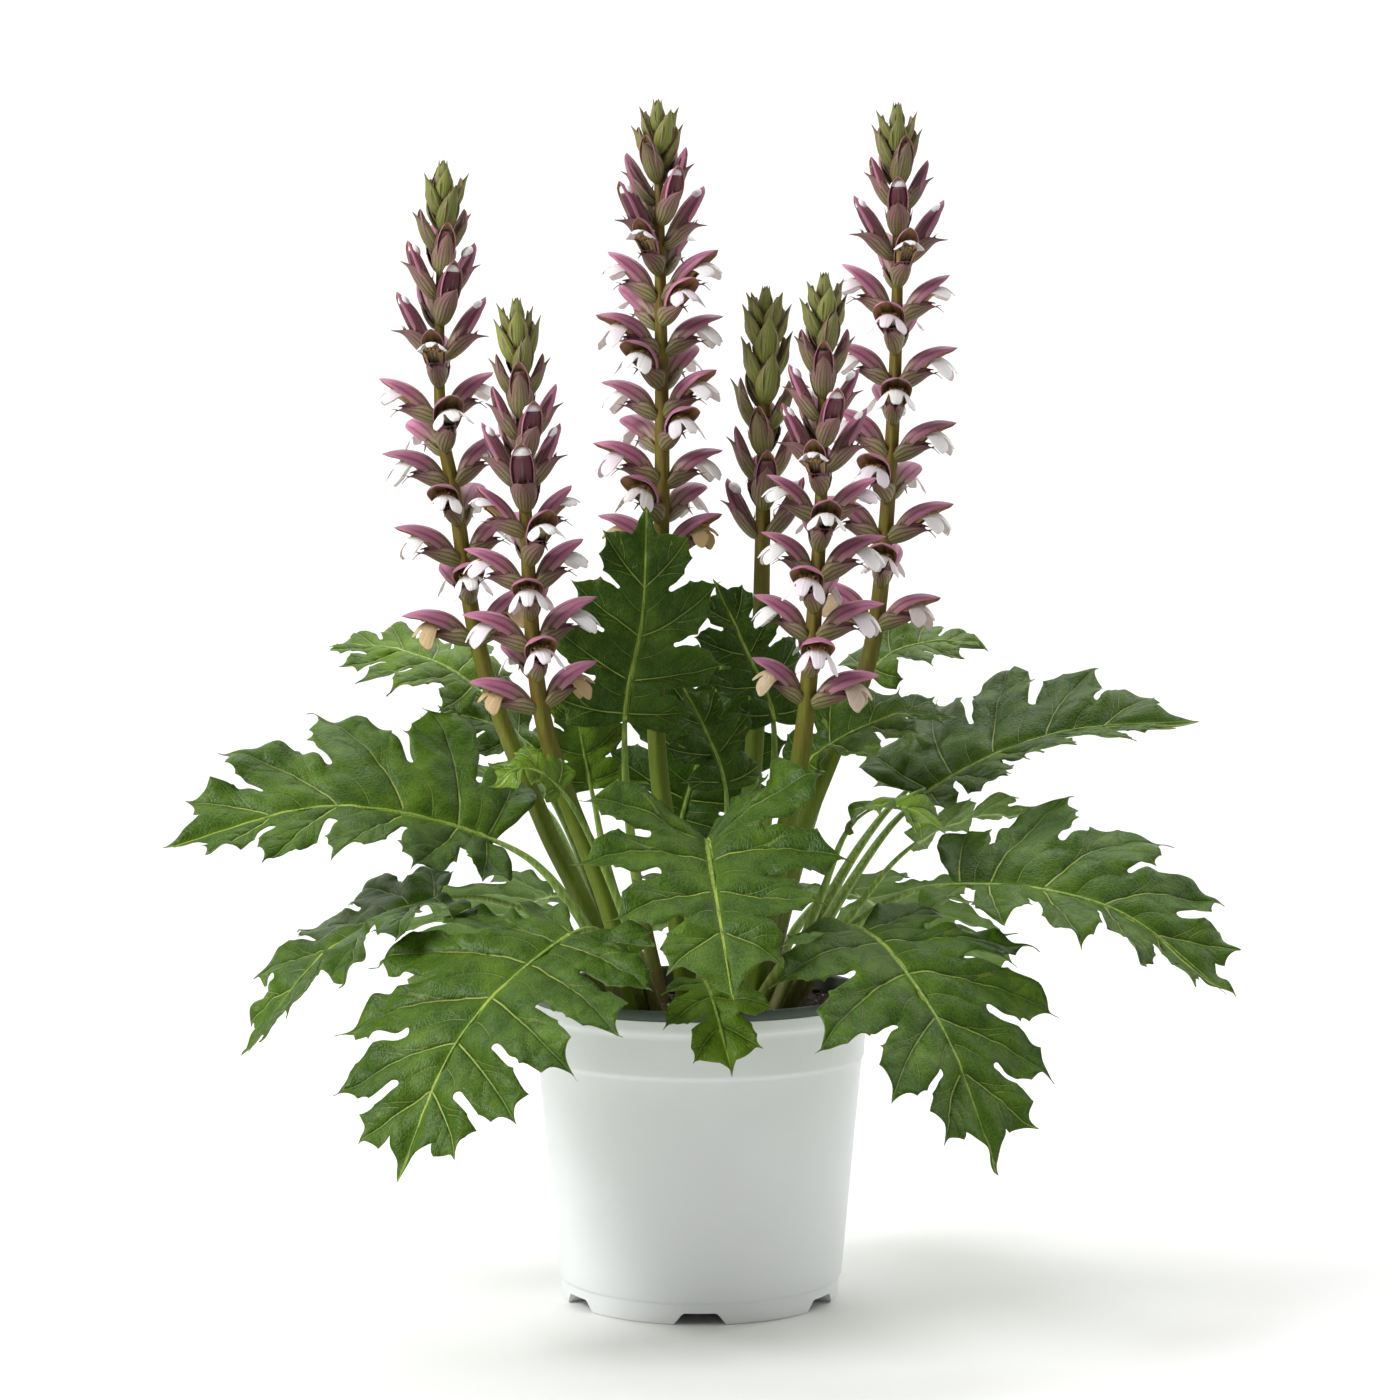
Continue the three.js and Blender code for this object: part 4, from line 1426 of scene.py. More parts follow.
    @staticmethod
    def _inside(places: np.ndarray, outline: np.ndarray) -> np.ndarray:
        """Return which places are inside a closed outline."""
        a, b = outline, np.roll(outline, -1, axis=0)
        x, y = places[:, :1], places[:, 1:]
        crosses = (a[:, 1] > y) != (b[:, 1] > y)
        slope = (b[:, 0] - a[:, 0]) / np.where(b[:, 1] == a[:, 1], 1e-9, b[:, 1] - a[:, 1])
        left = x < a[:, 0] + slope * (y - a[:, 1])
        return (crosses & left).sum(axis=1) % 2 == 1

    def _net(self, outline: np.ndarray, veins: list[Vein]) -> tuple[np.ndarray, np.ndarray]:
        """Return the flat blade's points and triangles, with the veins along its edges.

        Args:
            outline: The closed outline.
            veins: Every vein.

        Returns:
            The places and the corners of the triangles.
        """
        rim = Vein(np.vstack([outline, outline[:1]]), 0, 0)
        rng = np.random.default_rng(self.seed + 1)
        places = [Vector(p) for p in outline]
        edges = []
        rows = []
        placed = np.empty((0, 2))
        for vein in veins:
            line = vein.points(self.vein_step)
            away = np.linalg.norm(placed - line[0], axis=1)
            if len(placed) and away.min() < self.join:
                line[0] = placed[away.argmin()]
            placed = np.vstack([placed, line])
            first = len(places)
            places += [Vector(p) for p in line]
            edges += [(first + k, first + k + 1) for k in range(len(line) - 1)]
            way = unit(np.gradient(line, axis=0))
            left = np.stack([-way[:, 1], way[:, 0]], axis=-1)
            offsets = (1.2, 3.0) if vein.start_half > 0.3 else (1.3,)
            for offset in offsets:
                rows += [line + left * offset, line - left * offset]
        low, high = outline.min(axis=0), outline.max(axis=0)
        pitch = self.net_pitch
        xs = np.arange(low[0], high[0], pitch)
        ys = np.arange(low[1], high[1], pitch * 0.87)
        fill = np.stack(np.meshgrid(xs, ys), axis=-1)
        fill[1::2, :, 0] += pitch / 2
        fill = fill.reshape(-1, 2) + rng.uniform(-0.9, 0.9, (fill.size // 2, 2))
        near = np.vstack(rows)
        near = near[self._inside(near, outline)]
        near = near[rim.beyond(near) > 0.9]
        off_vein = np.min([v.beyond(near) + v.start_half for v in veins], axis=0)
        near = near[off_vein > 0.9]
        fill = fill[self._inside(fill, outline)]
        fill = fill[rim.beyond(fill) > 2.4]
        fill = fill[np.min([v.beyond(fill) for v in veins], axis=0) > 3.6]
        places += [Vector(p) for p in near] + [Vector(p) for p in fill]
        result = delaunay_2d_cdt(places, edges, [list(range(len(outline)))], 1, 1e-3)
        return np.array([tuple(p) for p in result[0]]), np.array(result[2])

    def _bend(self, curve: Spine, flat: np.ndarray) -> np.ndarray:
        """Return where the flat blade's places lie in space.

        Args:
            curve: The leaf's own curve.
            flat: The flat places.

        Returns:
            One place a row.
        """
        length = self.length
        u, aside = flat[:, 0] / length, flat[:, 1]
        inside = np.maximum(u, 0)
        t = 0.5 + inside / 2
        along = curve.along(t)
        up = square_to(np.broadcast_to(np.array(self.face, float), along.shape), along)
        across = np.cross(up, along)
        fold = np.radians(self.fold + self.cup * (1 - inside) ** 3)
        reach = np.abs(aside)
        phase = (self.soil[0] + self.soil[1]) * 0.13
        wave = self.wave * reach / length * np.sin(u * 9 + np.where(aside > 0, 0.6, 2.1) + phase)
        lift = reach * np.sin(fold) - self.curl * reach**2 / length + wave
        return (
            curve.at(t)
            + along * ((u - inside) * length)[:, None]
            + across * (aside * np.cos(fold))[:, None]
            + up * lift[:, None]
        )

    def _blade(self, skin: Skin, curve: Spine) -> None:
        """Add the blade, puckered between its veins and ruffled at its edge."""
        outline, side_veins, small_veins, midrib = self._flat()
        flat, faces = self._net(outline, [midrib, *side_veins, *small_veins])
        rib = midrib.beyond(flat)
        vein = np.min([v.beyond(flat) for v in side_veins], axis=0)
        veinlet = np.min([v.beyond(flat) for v in small_veins], axis=0)
        edge = Vein(np.vstack([outline, outline[:1]]), 0, 0).beyond(flat)
        places = self._bend(curve, flat)
        a, b, c = (places[faces[:, k]] for k in range(3))
        face_normal = np.cross(b - a, c - a)
        normal = np.zeros(places.shape)
        for k in range(3):
            np.add.at(normal, faces[:, k], face_normal)
        normal = unit(normal)
        pucker = swell(np.minimum(vein, rib), self.bulge) + swell(veinlet, self.small_bulge)
        near_vein = np.exp(-np.maximum(vein, 0) ** 2)
        rng = np.random.default_rng(self.seed + 9)
        twist = sum(rng.uniform(-self.twist, self.twist) * v.tilt(flat) for v in side_veins)
        x, y = flat[:, 0], flat[:, 1]
        uneven = 1.1 * Ripple(self.seed + 2, 55).at(x, y)
        uneven = uneven + 0.35 * Ripple(self.seed + 3, 16).at(x, y)
        height, reach = self.ruffle
        ruffle = height * np.exp(-edge / reach) * Ripple(self.seed + 4, 30).at(x, y)
        lift = pucker - self.crease * near_vein + uneven + ruffle + twist - self.settle
        top = places + normal * lift[:, None]
        thick = self.thickness * (1 - 0.5 * np.exp(-edge / 1.5)) + self.keel * near_vein
        under = top - normal * thick[:, None]
        size = len(flat)
        order = {}
        for face in faces:
            for k in range(3):
                order[(face[k], face[(k + 1) % 3])] = True
        rim = np.array([(q, p) for p, q in order if (q, p) not in order])
        wall = np.stack([rim[:, 0], rim[:, 1], rim[:, 1] + size, rim[:, 0] + size], axis=-1)
        sheets = np.vstack([faces, faces[:, ::-1] + size])
        quads = np.vstack([np.hstack([sheets, sheets[:, 2:]]), wall])
        slots = np.concatenate([
            np.zeros(len(faces)), np.ones(len(faces)), np.zeros(len(wall)),
        ]).astype(int)
        both = np.concatenate
        skin.add(
            np.vstack([top, under]), quads, slots,
            rib=both([rib, rib]), vein=both([vein, vein]), veinlet=both([veinlet, veinlet]),
            edge=both([edge, edge]), tone=self.tone, along=1.0,
            flat=np.tile(np.hstack([flat, np.zeros((size, 1))]) * MM, (2, 1)),
        )

    def _stalk(self, skin: Skin, curve: Spine) -> None:
        """Add the grooved stalk, which runs on under the blade as its midrib."""
        t = np.concatenate([np.linspace(0, 0.5, 30), np.linspace(0.51, 0.985, 26)])
        centres = curve.at(t)
        along = curve.along(t)
        up = square_to(np.broadcast_to(np.array(self.face, float), along.shape), along)
        across = np.cross(up, along)
        end = 0.525
        radius = self.stalk * (1 - 0.56 * np.minimum(t / end, 1) ** 2.2)
        radius = radius * (1 + np.exp(-t / 0.16))
        beyond = np.clip((t - 0.5) / 0.485, 0, 1)
        radius = np.where(t > 0.5, self.stalk * 0.44 * (1 - beyond) + 0.25 * beyond, radius)
        sink = np.clip((t - 0.42) / 0.12, 0, 1) * (radius * 0.8 + 0.5)
        sides = self.stalk_sides
        angle = np.linspace(0, 2 * math.pi, sides, endpoint=False)
        from_top = np.minimum(angle, 2 * math.pi - angle)
        groove = 1 - 0.3 * np.exp(-((from_top / 0.55) ** 2))
        ridges = 1 + 0.03 * np.cos(angle * 6)
        radii = radius[:, None] * groove * ridges
        points, faces = tube(centres - up * sink[:, None], up, across, radii, sides)
        share = np.concatenate([np.repeat(t, sides), [0, 1]])
        skin.add(
            points, faces, 2,
            rib=9.0, vein=9.0, veinlet=9.0, edge=9.0, tone=self.tone, along=share,
            flat=points * MM,
        )

    def build(self) -> None:
        """Make the leaf and put it in the place of its solid."""
        skin = Skin()
        curve = self._curve()
        self._blade(skin, curve)
        self._stalk(skin, curve)
        finishes = [Finish.BLADE_TOP, Finish.BLADE_UNDER, Finish.STALK]
        stand_for(skin.piece(self.name + "_blade", finishes), self.name)


LEAVES = (
    Leaf("leaf_front_left", Pattern.LONG, (-0.35, -0.6, 0.7), (-30, -38), (-52, -72, 238),
         (-82, -105, 262), (-150, -180, 208), (-188, -232, 122), sides=(1, 1), fold=8),
    Leaf("leaf_front_right", Pattern.BROAD, (0.35, -0.6, 0.7), (28, -38), (62, -72, 242),
         (106, -105, 264), (152, -177, 214), (185, -228, 127), sides=(1.04, 1), fold=8),
    Leaf("leaf_front", Pattern.SPREAD, (0, -0.55, 0.85), (2, -40), (2, -42, 262),
         (4, -60, 318), (11, -150, 285), (21, -228, 231), sides=(1, 1.05), fold=4, cup=42),
    Leaf("leaf_front_small", Pattern.SHORT, (0, -0.7, 0.7), (-2, -56), (-2, -78, 216),
         (3, -98, 228), (12, -132, 209), (21, -150, 172), stalk=2.4, wave=6, tone=0.75),
    Leaf("leaf_left", Pattern.BROAD, (0, -0.52, 0.85), (-46, -18), (-85, -20, 265),
         (-140, -20, 314), (-250, -38, 339), (-360, -62, 311), sides=(0.74, 1.04), fold=15),
    Leaf("leaf_left_low", Pattern.BROAD, (-0.6, -0.25, 0.75), (-54, 0), (-100, -20, 255),
         (-176, -34, 276), (-254, -52, 240), (-307, -62, 171)),
    Leaf("leaf_right", Pattern.BROAD, (0.2, -0.42, 0.88), (48, -14), (104, -32, 256),
         (170, -48, 287), (272, -82, 276), (350, -115, 218), sides=(1.1, 0.74), fold=14),
    Leaf("leaf_right_high", Pattern.BROAD, (-0.1, -0.36, 0.93), (50, 10), (100, 35, 270),
         (158, 60, 338), (250, 72, 381), (358, 85, 390), sides=(1.12, 0.5), fold=14),
    Leaf("leaf_right_middle", Pattern.MIDDLING, (0, 0.45, 0.9), (56, -2), (104, 16, 256),
         (151, 30, 308), (202, 36, 328), (248, 42, 324), sides=(0.6, 0.6), stalk=2.8, wave=8,
         tone=0.6),
    Leaf("leaf_centre_high", Pattern.MIDDLING, (0, -0.95, 0.3), (-24, 8), (-46, 2, 300),
         (-52, 6, 394), (-40, 14, 466), (-37, 18, 542), sides=(0.92, 0.92), tone=0.25),
    Leaf("leaf_back_right_high", Pattern.MIDDLING, (0.2, -0.9, 0.4), (14, 34), (44, 40, 300),
         (52, 52, 391), (30, 58, 447), (9, 62, 492), sides=(0.8, 0.8), tone=0.15),
    Leaf("leaf_inner", Pattern.SHORT, (0.1, -0.8, 0.6), (8, 4), (16, 10, 280),
         (18, 20, 346), (4, 26, 386), (-12, 30, 418), stalk=2.8, wave=8, tone=0.2),
    Leaf("leaf_left_inner", Pattern.SHORT, (0.3, -0.8, 0.5), (-30, 22), (-62, 30, 280),
         (-76, 36, 345), (-84, 42, 385), (-90, 44, 424), stalk=2.8, wave=8, tone=0.6),
    Leaf("leaf_left_back_high", Pattern.BROAD, (-0.05, -0.3, 0.95), (-42, 34), (-95, 55, 320),
         (-158, 75, 412), (-216, 100, 440), (-270, 120, 443), fold=5, tone=0.6),
    Leaf("leaf_left_back", Pattern.MIDDLING, (-0.1, -0.4, 0.9), (-28, 42), (-72, 70, 290),
         (-115, 90, 365), (-160, 100, 390), (-200, 104, 392), tone=0.5),
    Leaf("leaf_right_back_high", Pattern.MIDDLING, (0.1, -0.3, 0.95), (40, 38), (80, 75, 320),
         (122, 100, 422), (167, 112, 446), (211, 122, 440), tone=0.6),
    Leaf("leaf_right_back", Pattern.BROAD, (0.1, -0.2, 0.95), (54, 28), (98, 70, 275),
         (150, 112, 338), (202, 132, 366), (254, 148, 364), tone=0.5),
    Leaf("leaf_right_inner", Pattern.MIDDLING, (-0.1, -0.35, 0.93), (36, 2), (52, 2, 290),
         (72, 2, 362), (127, 4, 396), (177, 8, 397), fold=14),
    Leaf("leaf_right_young", Pattern.SHORT, (0.2, -0.3, 0.9), (44, -26), (78, -30, 265),
         (104, -34, 328), (136, -54, 340), (166, -70, 322), stalk=2.8, wave=6, tone=0.95),
    Leaf("leaf_left_young", Pattern.SHORT, (-0.2, -0.5, 0.8), (-22, -52), (-60, -66, 290),
         (-92, -74, 352), (-118, -86, 368), (-137, -92, 357), stalk=2.6, wave=6, tone=0.95),
    Leaf("leaf_back_left_low", Pattern.BROAD, (-0.3, 0.5, 0.8), (-40, 50), (-72, 90, 244),
         (-106, 120, 262), (-163, 180, 224), (-206, 224, 152)),
    Leaf("leaf_back_low", Pattern.MIDDLING, (0, 0.6, 0.8), (2, 58), (2, 100, 240),
         (2, 128, 266), (4, 194, 240), (8, 246, 165), sides=(0.92, 0.92)),
    Leaf("leaf_back_right_low", Pattern.BROAD, (0.3, 0.5, 0.8), (38, 54), (72, 92, 244),
         (108, 124, 263), (164, 180, 225), (206, 226, 152)),
    Leaf("leaf_back_high", Pattern.BROAD, (0.05, -0.85, 0.5), (-10, 56), (-18, 88, 270),
         (-14, 108, 314), (6, 122, 384), (20, 132, 450), fold=6, tone=0.1),
    Leaf("leaf_back_left", Pattern.MIDDLING, (-0.2, 0.3, 0.95), (-52, 44), (-88, 86, 280),
         (-118, 116, 330), (-168, 160, 346), (-214, 196, 322)),
)


# The flower spikes


@dataclass(frozen=True)
class Petal:
    """A long arched scale of a flower.

    Each station along it gives its distance out from the stem's middle, its height, its half
    width and how far its sides fall below its ridge, or rise above it where that is negative.
    """

    stations: tuple[tuple[float, float, float, float], ...]
    rows: int
    columns: int
    arch: float = 1.3
    thickness: float = 0.45

    def blend(self, other: "Petal", share: float) -> "Petal":
        """Return the petal that is this share of the way to another."""
        mixed = (1 - share) * np.array(self.stations) + share * np.array(other.stations)
        rows = tuple(tuple(float(x) for x in row) for row in mixed)
        return Petal(rows, self.rows, self.columns, self.arch, self.thickness)

    def grid(self) -> Surface:
        """Return its surface.

        Returns:
            The places as out, aside and up, and each one's shares along and across it.
        """
        spine = Spine(self.stations)
        along = np.linspace(0, 1, self.rows)
        across = np.linspace(-1, 1, self.columns)
        ridge = spine.at(along)
        way = unit(np.gradient(ridge[:, :2], axis=0))
        down = np.stack([way[:, 1], -way[:, 0]], axis=-1)
        width = np.maximum(ridge[:, 2], 0.12)
        spread = np.sin(across * self.arch) / math.sin(min(self.arch, math.pi / 2))
        fall = (1 - np.cos(across * self.arch)) / (1 - math.cos(self.arch))
        drop = ridge[:, 3:4] * fall
        out = ridge[:, :1] + down[:, :1] * drop
        up = ridge[:, 1:2] + down[:, 1:] * drop
        places = np.stack([out, width[:, None] * spread, up], axis=-1)
        return places, np.repeat(along, self.columns), np.tile(across, self.rows)


@dataclass(frozen=True)
class Lip:
    """The three-lobed lip that hangs out of an open flower, its side lobes folded down."""

    path: tuple[Pair, ...] = ((20, 17), (26, 22.4), (32, 23.2), (38, 21), (43, 16.4), (46.4, 10.6))
    half_widths: tuple[float, ...] = (4.0, 7.4, 10.9, 13.2, 14.2, 14.2)
    drops: tuple[float, ...] = (2.0, 4.0, 8.0, 11.5, 12.5, 11.5)
    flare: float = 0.22
    shut_path: tuple[Pair, ...] = (
        (14, 15), (19, 23), (24.5, 29), (30, 32.4), (35.5, 33), (40, 31),
    )
    shut_width: float = 0.62
    notches: Pair = (0.36, 0.085)
    arch: float = 0.98
    rows: int = 13
    columns: int = 27
    thickness: float = 0.35

    def grid(self, limp: float, opening: float) -> Surface:
        """Return its surface.

        Args:
            limp: How far it has shrunk and folded with age, from 0 to 1.
            opening: How far the flower has opened, from 0 to 1.

        Returns:
            The places as out, aside and up, and each one's shares along and across it.
        """
        path = np.array(self.path) * opening + np.array(self.shut_path) * (1 - opening)
        breadths = np.array(self.half_widths) * (opening + (1 - opening) * self.shut_width)
        stations = np.column_stack([path, breadths, np.array(self.drops) * (0.4 + 0.6 * opening)])
        along = np.linspace(0, 1, self.rows)[:, None] + np.zeros((1, self.columns))
        across = np.linspace(-1, 1, self.columns)[None, :] + np.zeros((self.rows, 1))
        far = np.abs(across)
        centre, breadth = self.notches
        notch = 0.32 * np.exp(-(((far - centre) / breadth) ** 2))
        middle = 0.1 * (np.minimum(far, centre) / centre) ** 2
        outer = 0.34 * (np.clip(far - 0.72, 0, 1) / 0.28) ** 2.2
        reach = along * (1 - (notch + middle + outer) * along**0.7)
        row = Spine(stations).at(reach * (1 - 0.22 * limp))
        turn = across * self.arch * (1 + 0.35 * limp)
        spread = np.sin(turn) / math.sin(self.arch)
        fall = (1 - np.cos(turn)) / (1 - math.cos(self.arch))
        crimp = 0.7 * np.sin(across * 19) * reach * limp + 0.25 * np.cos(across * 26) * reach
        places = np.stack([
            row[..., 0] - 5.0 * fall * reach,
            row[..., 2] * spread * (1 + self.flare * fall * reach) * (1 - 0.25 * limp),
            row[..., 1] - row[..., 3] * fall - 3.0 * limp * reach + crimp,
        ], axis=-1)
        return places, along.ravel(), across.ravel()


@dataclass(frozen=True)
class Seat:
    """Where and how one flower sits on its stem."""

    centre: np.ndarray
    out: np.ndarray
    aside: np.ndarray
    up: np.ndarray
    lift: float
    size: float
    hue: float
    age: float
    ripe: float
    opening: float = 1.0

    def place(self, local: np.ndarray) -> np.ndarray:
        """Return places in space from rows of out, aside and up."""
        c, s = math.cos(self.lift), math.sin(self.lift)
        x, y, z = (local[..., k, None] for k in range(3))
        return self.centre + self.size * (
            self.out * (x * c - z * s) + self.aside * y + self.up * (x * s + z * c)
        )


OPEN_HOOD = Petal(
    ((3, 3, 2.4, 3), (5, 10, 4.2, 7), (8, 16.5, 6.8, 10), (12.5, 22.4, 9.2, 11),
     (20, 27.5, 10.8, 10.5), (29, 30.6, 12, 8.4), (36, 31.3, 11.4, 5.8), (42, 30.9, 8, 3.4),
     (46, 30.2, 0.6, 0.2)),
    19, 13, 1.4,
)
OPEN_THROAT = Petal(
    ((2, 5, 2.6, 6), (7, 12.5, 4.4, 9.5), (13, 18.4, 5.6, 10), (19, 22.4, 6.6, 8.5),
     (25, 24.6, 7.2, 6), (28.5, 25.2, 7, 4.6)),
    8, 13, 2.5, 0.3,
)
OPEN_TONGUE = Petal(
    ((3, -0.5, 2, 1), (9, 3.6, 5, -3), (16, 8.4, 6.4, -4), (22, 11.8, 5.4, -3),
     (26, 13.4, 2.4, -1), (29, 13.6, 0.3, 0)),
    10, 9, 1.3,
)
OPEN_BRACT = Petal(
    ((2, -2.6, 3.4, -5), (7, -1.8, 6.2, -10), (13.5, 0.8, 7.2, -12), (19.5, 4.8, 6.4, -9.5),
     (24.5, 8.8, 3.8, -5), (28, 10.6, 1.5, -1), (31, 10.4, 0.7, -0.2), (35.5, 7.0, 0.2, 0)),
    15, 9, 1.4,
)
SHUT_HOOD = Petal(
    ((3, 3, 2.4, 4), (5, 9, 4.2, 6.5), (7.5, 15.5, 6, 8), (11, 22, 7, 9), (15.5, 28.4, 7.2, 9),
     (20.5, 33.6, 6.8, 7.6), (25, 37.6, 5.8, 5.6), (29, 40.4, 3.6, 3.2), (30.6, 41.4, 0.5, 0.3)),
    19, 13, 1.4,
)
BUD_HOOD = Petal(
    ((2.5, 3, 2.4, 5), (6, 12, 5, 8), (10.5, 21, 6.9, 9.5), (15.5, 28.6, 7.4, 8.8),
     (21.5, 34.6, 6.6, 6.4), (26, 38, 4.4, 3.6), (28.2, 39.6, 0.5, 0.3)),
    13, 11, 1.5,
)
BUD_TONGUE = Petal(
    ((4, 0, 2.5, -3), (11.5, 6, 5.6, -5), (17.4, 12.8, 7, -6), (21.6, 20, 7.4, -6),
     (24.8, 26.6, 7, -5), (26.2, 31.4, 5.4, -3)),
    10, 9, 1.35, 0.6,
)
YOUNG_TONGUE = Petal(
    ((3, 0, 2.4, -3), (8, 5, 5.2, -5), (12, 10.6, 6.4, -5.6), (14.4, 16, 6.6, -5.4),
     (15.4, 21, 5.4, -4), (15.2, 25, 2.6, -1.6)),
    10, 9, 1.35, 0.6,
)
BUD_BRACT = Petal(
    ((2, -3.4, 3.6, -4), (8, -2.2, 6.2, -7), (13.6, 1.8, 7.4, -8.8), (18.4, 6.6, 7.4, -8.6),
     (22, 10.8, 5.6, -5.6), (25.6, 13.2, 1.9, -1.6), (31.5, 14.4, 0.2, 0)),
    14, 9, 1.3,
)
YOUNG_BRACT = Petal(
    ((1.5, -3, 3, -3), (7, -0.6, 6.4, -6.6), (12.4, 5.4, 8.6, -8), (15.8, 13, 8.8, -7.4),
     (17.6, 21, 6.8, -5), (18.8, 28, 3, -1.8), (21, 34.5, 0.2, 0)),
    14, 9, 1.25,
)
YOUNG_HOOD = Petal(
    ((2, 1, 2.4, 4), (5.6, 7.5, 5, 5.6), (8.8, 14.6, 6.4, 6.4), (11, 21, 6.2, 5.4),
     (12.6, 26.4, 4.2, 3.4), (13.6, 29.6, 2.2, 1.6), (14, 30.6, 0.5, 0.3)),
    13, 11, 1.5,
)


CAPPED_FROM = 0.55
OPEN_SPINES = (0.36, 0.5, 0.64, 0.78)
BUD_SPINES = (0.42, 0.58, 0.74)


@dataclass
class Blooms:
    """The flowers of one spike, sorted into the pieces that share a finish."""

    hoods: Skin = field(default_factory=Skin)
    lips: Skin = field(default_factory=Skin)
    bracts: Skin = field(default_factory=Skin)
    stamens: Skin = field(default_factory=Skin)

    @staticmethod
    def _sheet(
        skin: Skin, seat: Seat, surface: Surface, thickness: float, slots: Slots,
    ) -> np.ndarray:
        """Add one thin closed sheet.

        Args:
            skin: Where it is added.
            seat: The flower that it belongs to.
            surface: Its places and its shares along and across.
            thickness: How thick it is.
            slots: The finishes of its outer and its inner face.

        Returns:
            The sheet's outer places in space.
        """
        local, along, across = surface
        rows, columns = local.shape[:2]
        inner = local + grid_normals(local) * thickness
        faces, is_under = shell_faces(rows, columns)
        faces = faces[:, ::-1]
        outer_places = seat.place(local)
        points = np.vstack([outer_places.reshape(-1, 3), seat.place(inner).reshape(-1, 3)])
        flat = np.stack([along * 0.045, across * 0.011, np.full(len(along), seat.hue)], axis=-1)
        skin.add(
            points, faces, np.where(is_under == 1, slots[1], slots[0]),
            along=np.tile(along, 2), aside=np.tile(across, 2), hue=seat.hue, age=seat.age,
            ripe=seat.ripe, flat=np.tile(flat, (2, 1)),
        )
        return outer_places

    def _bract(self, seat: Seat, petal: Petal, spines: Sequence[float], reach: float) -> None:
        """Add a bract with spines along its edges.

        Args:
            seat: The flower that it belongs to.
            petal: Its shape.
            spines: Where the spines stand, as shares along it.
            reach: The length of the first spine.
        """
        surface = petal.grid()
        self._sheet(self.bracts, seat, surface, petal.thickness, (0, 0))
        local = surface[0]
        for share in spines:
            row = int(round(share * (petal.rows - 1)))
            for column, side in ((0, -1.0), (petal.columns - 1, 1.0)):
                root = local[row, column]
                inner = local[row, column - int(side)]
                outward = unit(root - inner)
                ahead = unit(local[min(row + 1, petal.rows - 1), column] - root)
                t = np.linspace(0, 1, 4)[:, None]
                length = reach * (1 - 0.35 * share)
                line = root - outward * 0.4 + (outward * 0.75 + ahead * 0.35) * t * length
                line = line + ahead * (t**2 * length * 0.55)
                outs = np.broadcast_to(unit(np.cross(outward, ahead)), line.shape)
                asides = np.broadcast_to(ahead, line.shape)
                radii = np.array([0.8, 0.5, 0.25, 0.05])
                points, faces = tube(line, outs, asides, radii, 4)
                self.bracts.add(
                    seat.place(points), faces, 0, along=0.97, aside=side, hue=seat.hue,
                    age=seat.age, ripe=max(seat.ripe, 0.6), flat=(0.04, 0.01, seat.hue),
                )

    def _stamens(self, seat: Seat) -> None:
        """Add the four stamens that lie under an open hood."""
        sides = 5
        radii = np.array([0.5, 0.5, 0.5, 0.5, 0.55, 0.8, 1.5, 1.3, 0.3])
        t = np.linspace(0, 1, len(radii))
        share = np.concatenate([np.repeat(t, sides), [0, 1]])
        for aside in (-3.6, -1.3, 1.3, 3.6):
            path = Spine([
                (10, aside * 0.5, 9.5), (17, aside * 0.8, 17), (23, aside, 21.5),
                (29, aside * 1.1, 23.6), (33.5, aside * 1.1, 23.2),
            ])
            along = path.along(t)
            side = np.broadcast_to(np.array([0.0, 1.0, 0.0]), along.shape)
            outs = square_to(side, along)
            points, faces = tube(path.at(t), outs, np.cross(along, outs), radii, sides)
            self.stamens.add(seat.place(points), faces, 0, along=share)

    def _cap(self, seat: Seat, tip: Pair) -> None:
        """Add the end of the folded lip that shows between a bud's tongue and its hood's tip."""
        rows, columns = 7, 10
        polar = np.linspace(0.12, math.pi - 0.12, rows)[:, None]
        around = np.linspace(0, 2 * math.pi, columns, endpoint=False)[None, :]
        half_length, half_width, half_depth, tilt = 5.0, 6.2, 3.4, 0.95
        back, below = 4.8, 6.8
        x = np.cos(polar) * half_length + 0 * around
        y = np.sin(polar) * np.cos(around) * half_width
        z = np.sin(polar) * np.sin(around) * half_depth
        out = tip[0] - back + x * math.cos(tilt) - z * math.sin(tilt)
        up = tip[1] - below + x * math.sin(tilt) + z * math.cos(tilt)
        local = np.stack([out, y, up], axis=-1)
        ends = np.stack([local[0].mean(axis=0), local[-1].mean(axis=0)])
        points = np.vstack([local.reshape(-1, 3), ends])
        share = np.concatenate([np.repeat(np.linspace(1, 0.2, rows), columns), [1, 0.2]])
        across = np.concatenate([np.tile(np.cos(around[0]), rows), [0, 0]])
        flat = np.stack([share * 0.02, across * 0.01, np.full(len(share), seat.hue)], axis=-1)
        self.lips.add(
            seat.place(points), closed_faces(rows, columns), 0,
            along=share, aside=across, hue=seat.hue, age=seat.age, ripe=seat.ripe, flat=flat,
        )

    def open_flower(self, seat: Seat) -> None:
        """Add an open flower, or one that has begun to open."""
        hood = SHUT_HOOD.blend(OPEN_HOOD, seat.opening)
        self._sheet(self.hoods, seat, hood.grid(), hood.thickness, (0, 1))
        self._sheet(self.hoods, seat, OPEN_TONGUE.grid(), OPEN_TONGUE.thickness, (2, 2))
        self._sheet(self.hoods, seat, OPEN_THROAT.grid(), OPEN_THROAT.thickness, (3, 3))
        self._bract(seat, OPEN_BRACT, OPEN_SPINES, 7.5)
        lip = Lip()
        self._sheet(self.lips, seat, lip.grid(seat.age, seat.opening), lip.thickness, (0, 0))
        self._stamens(seat)

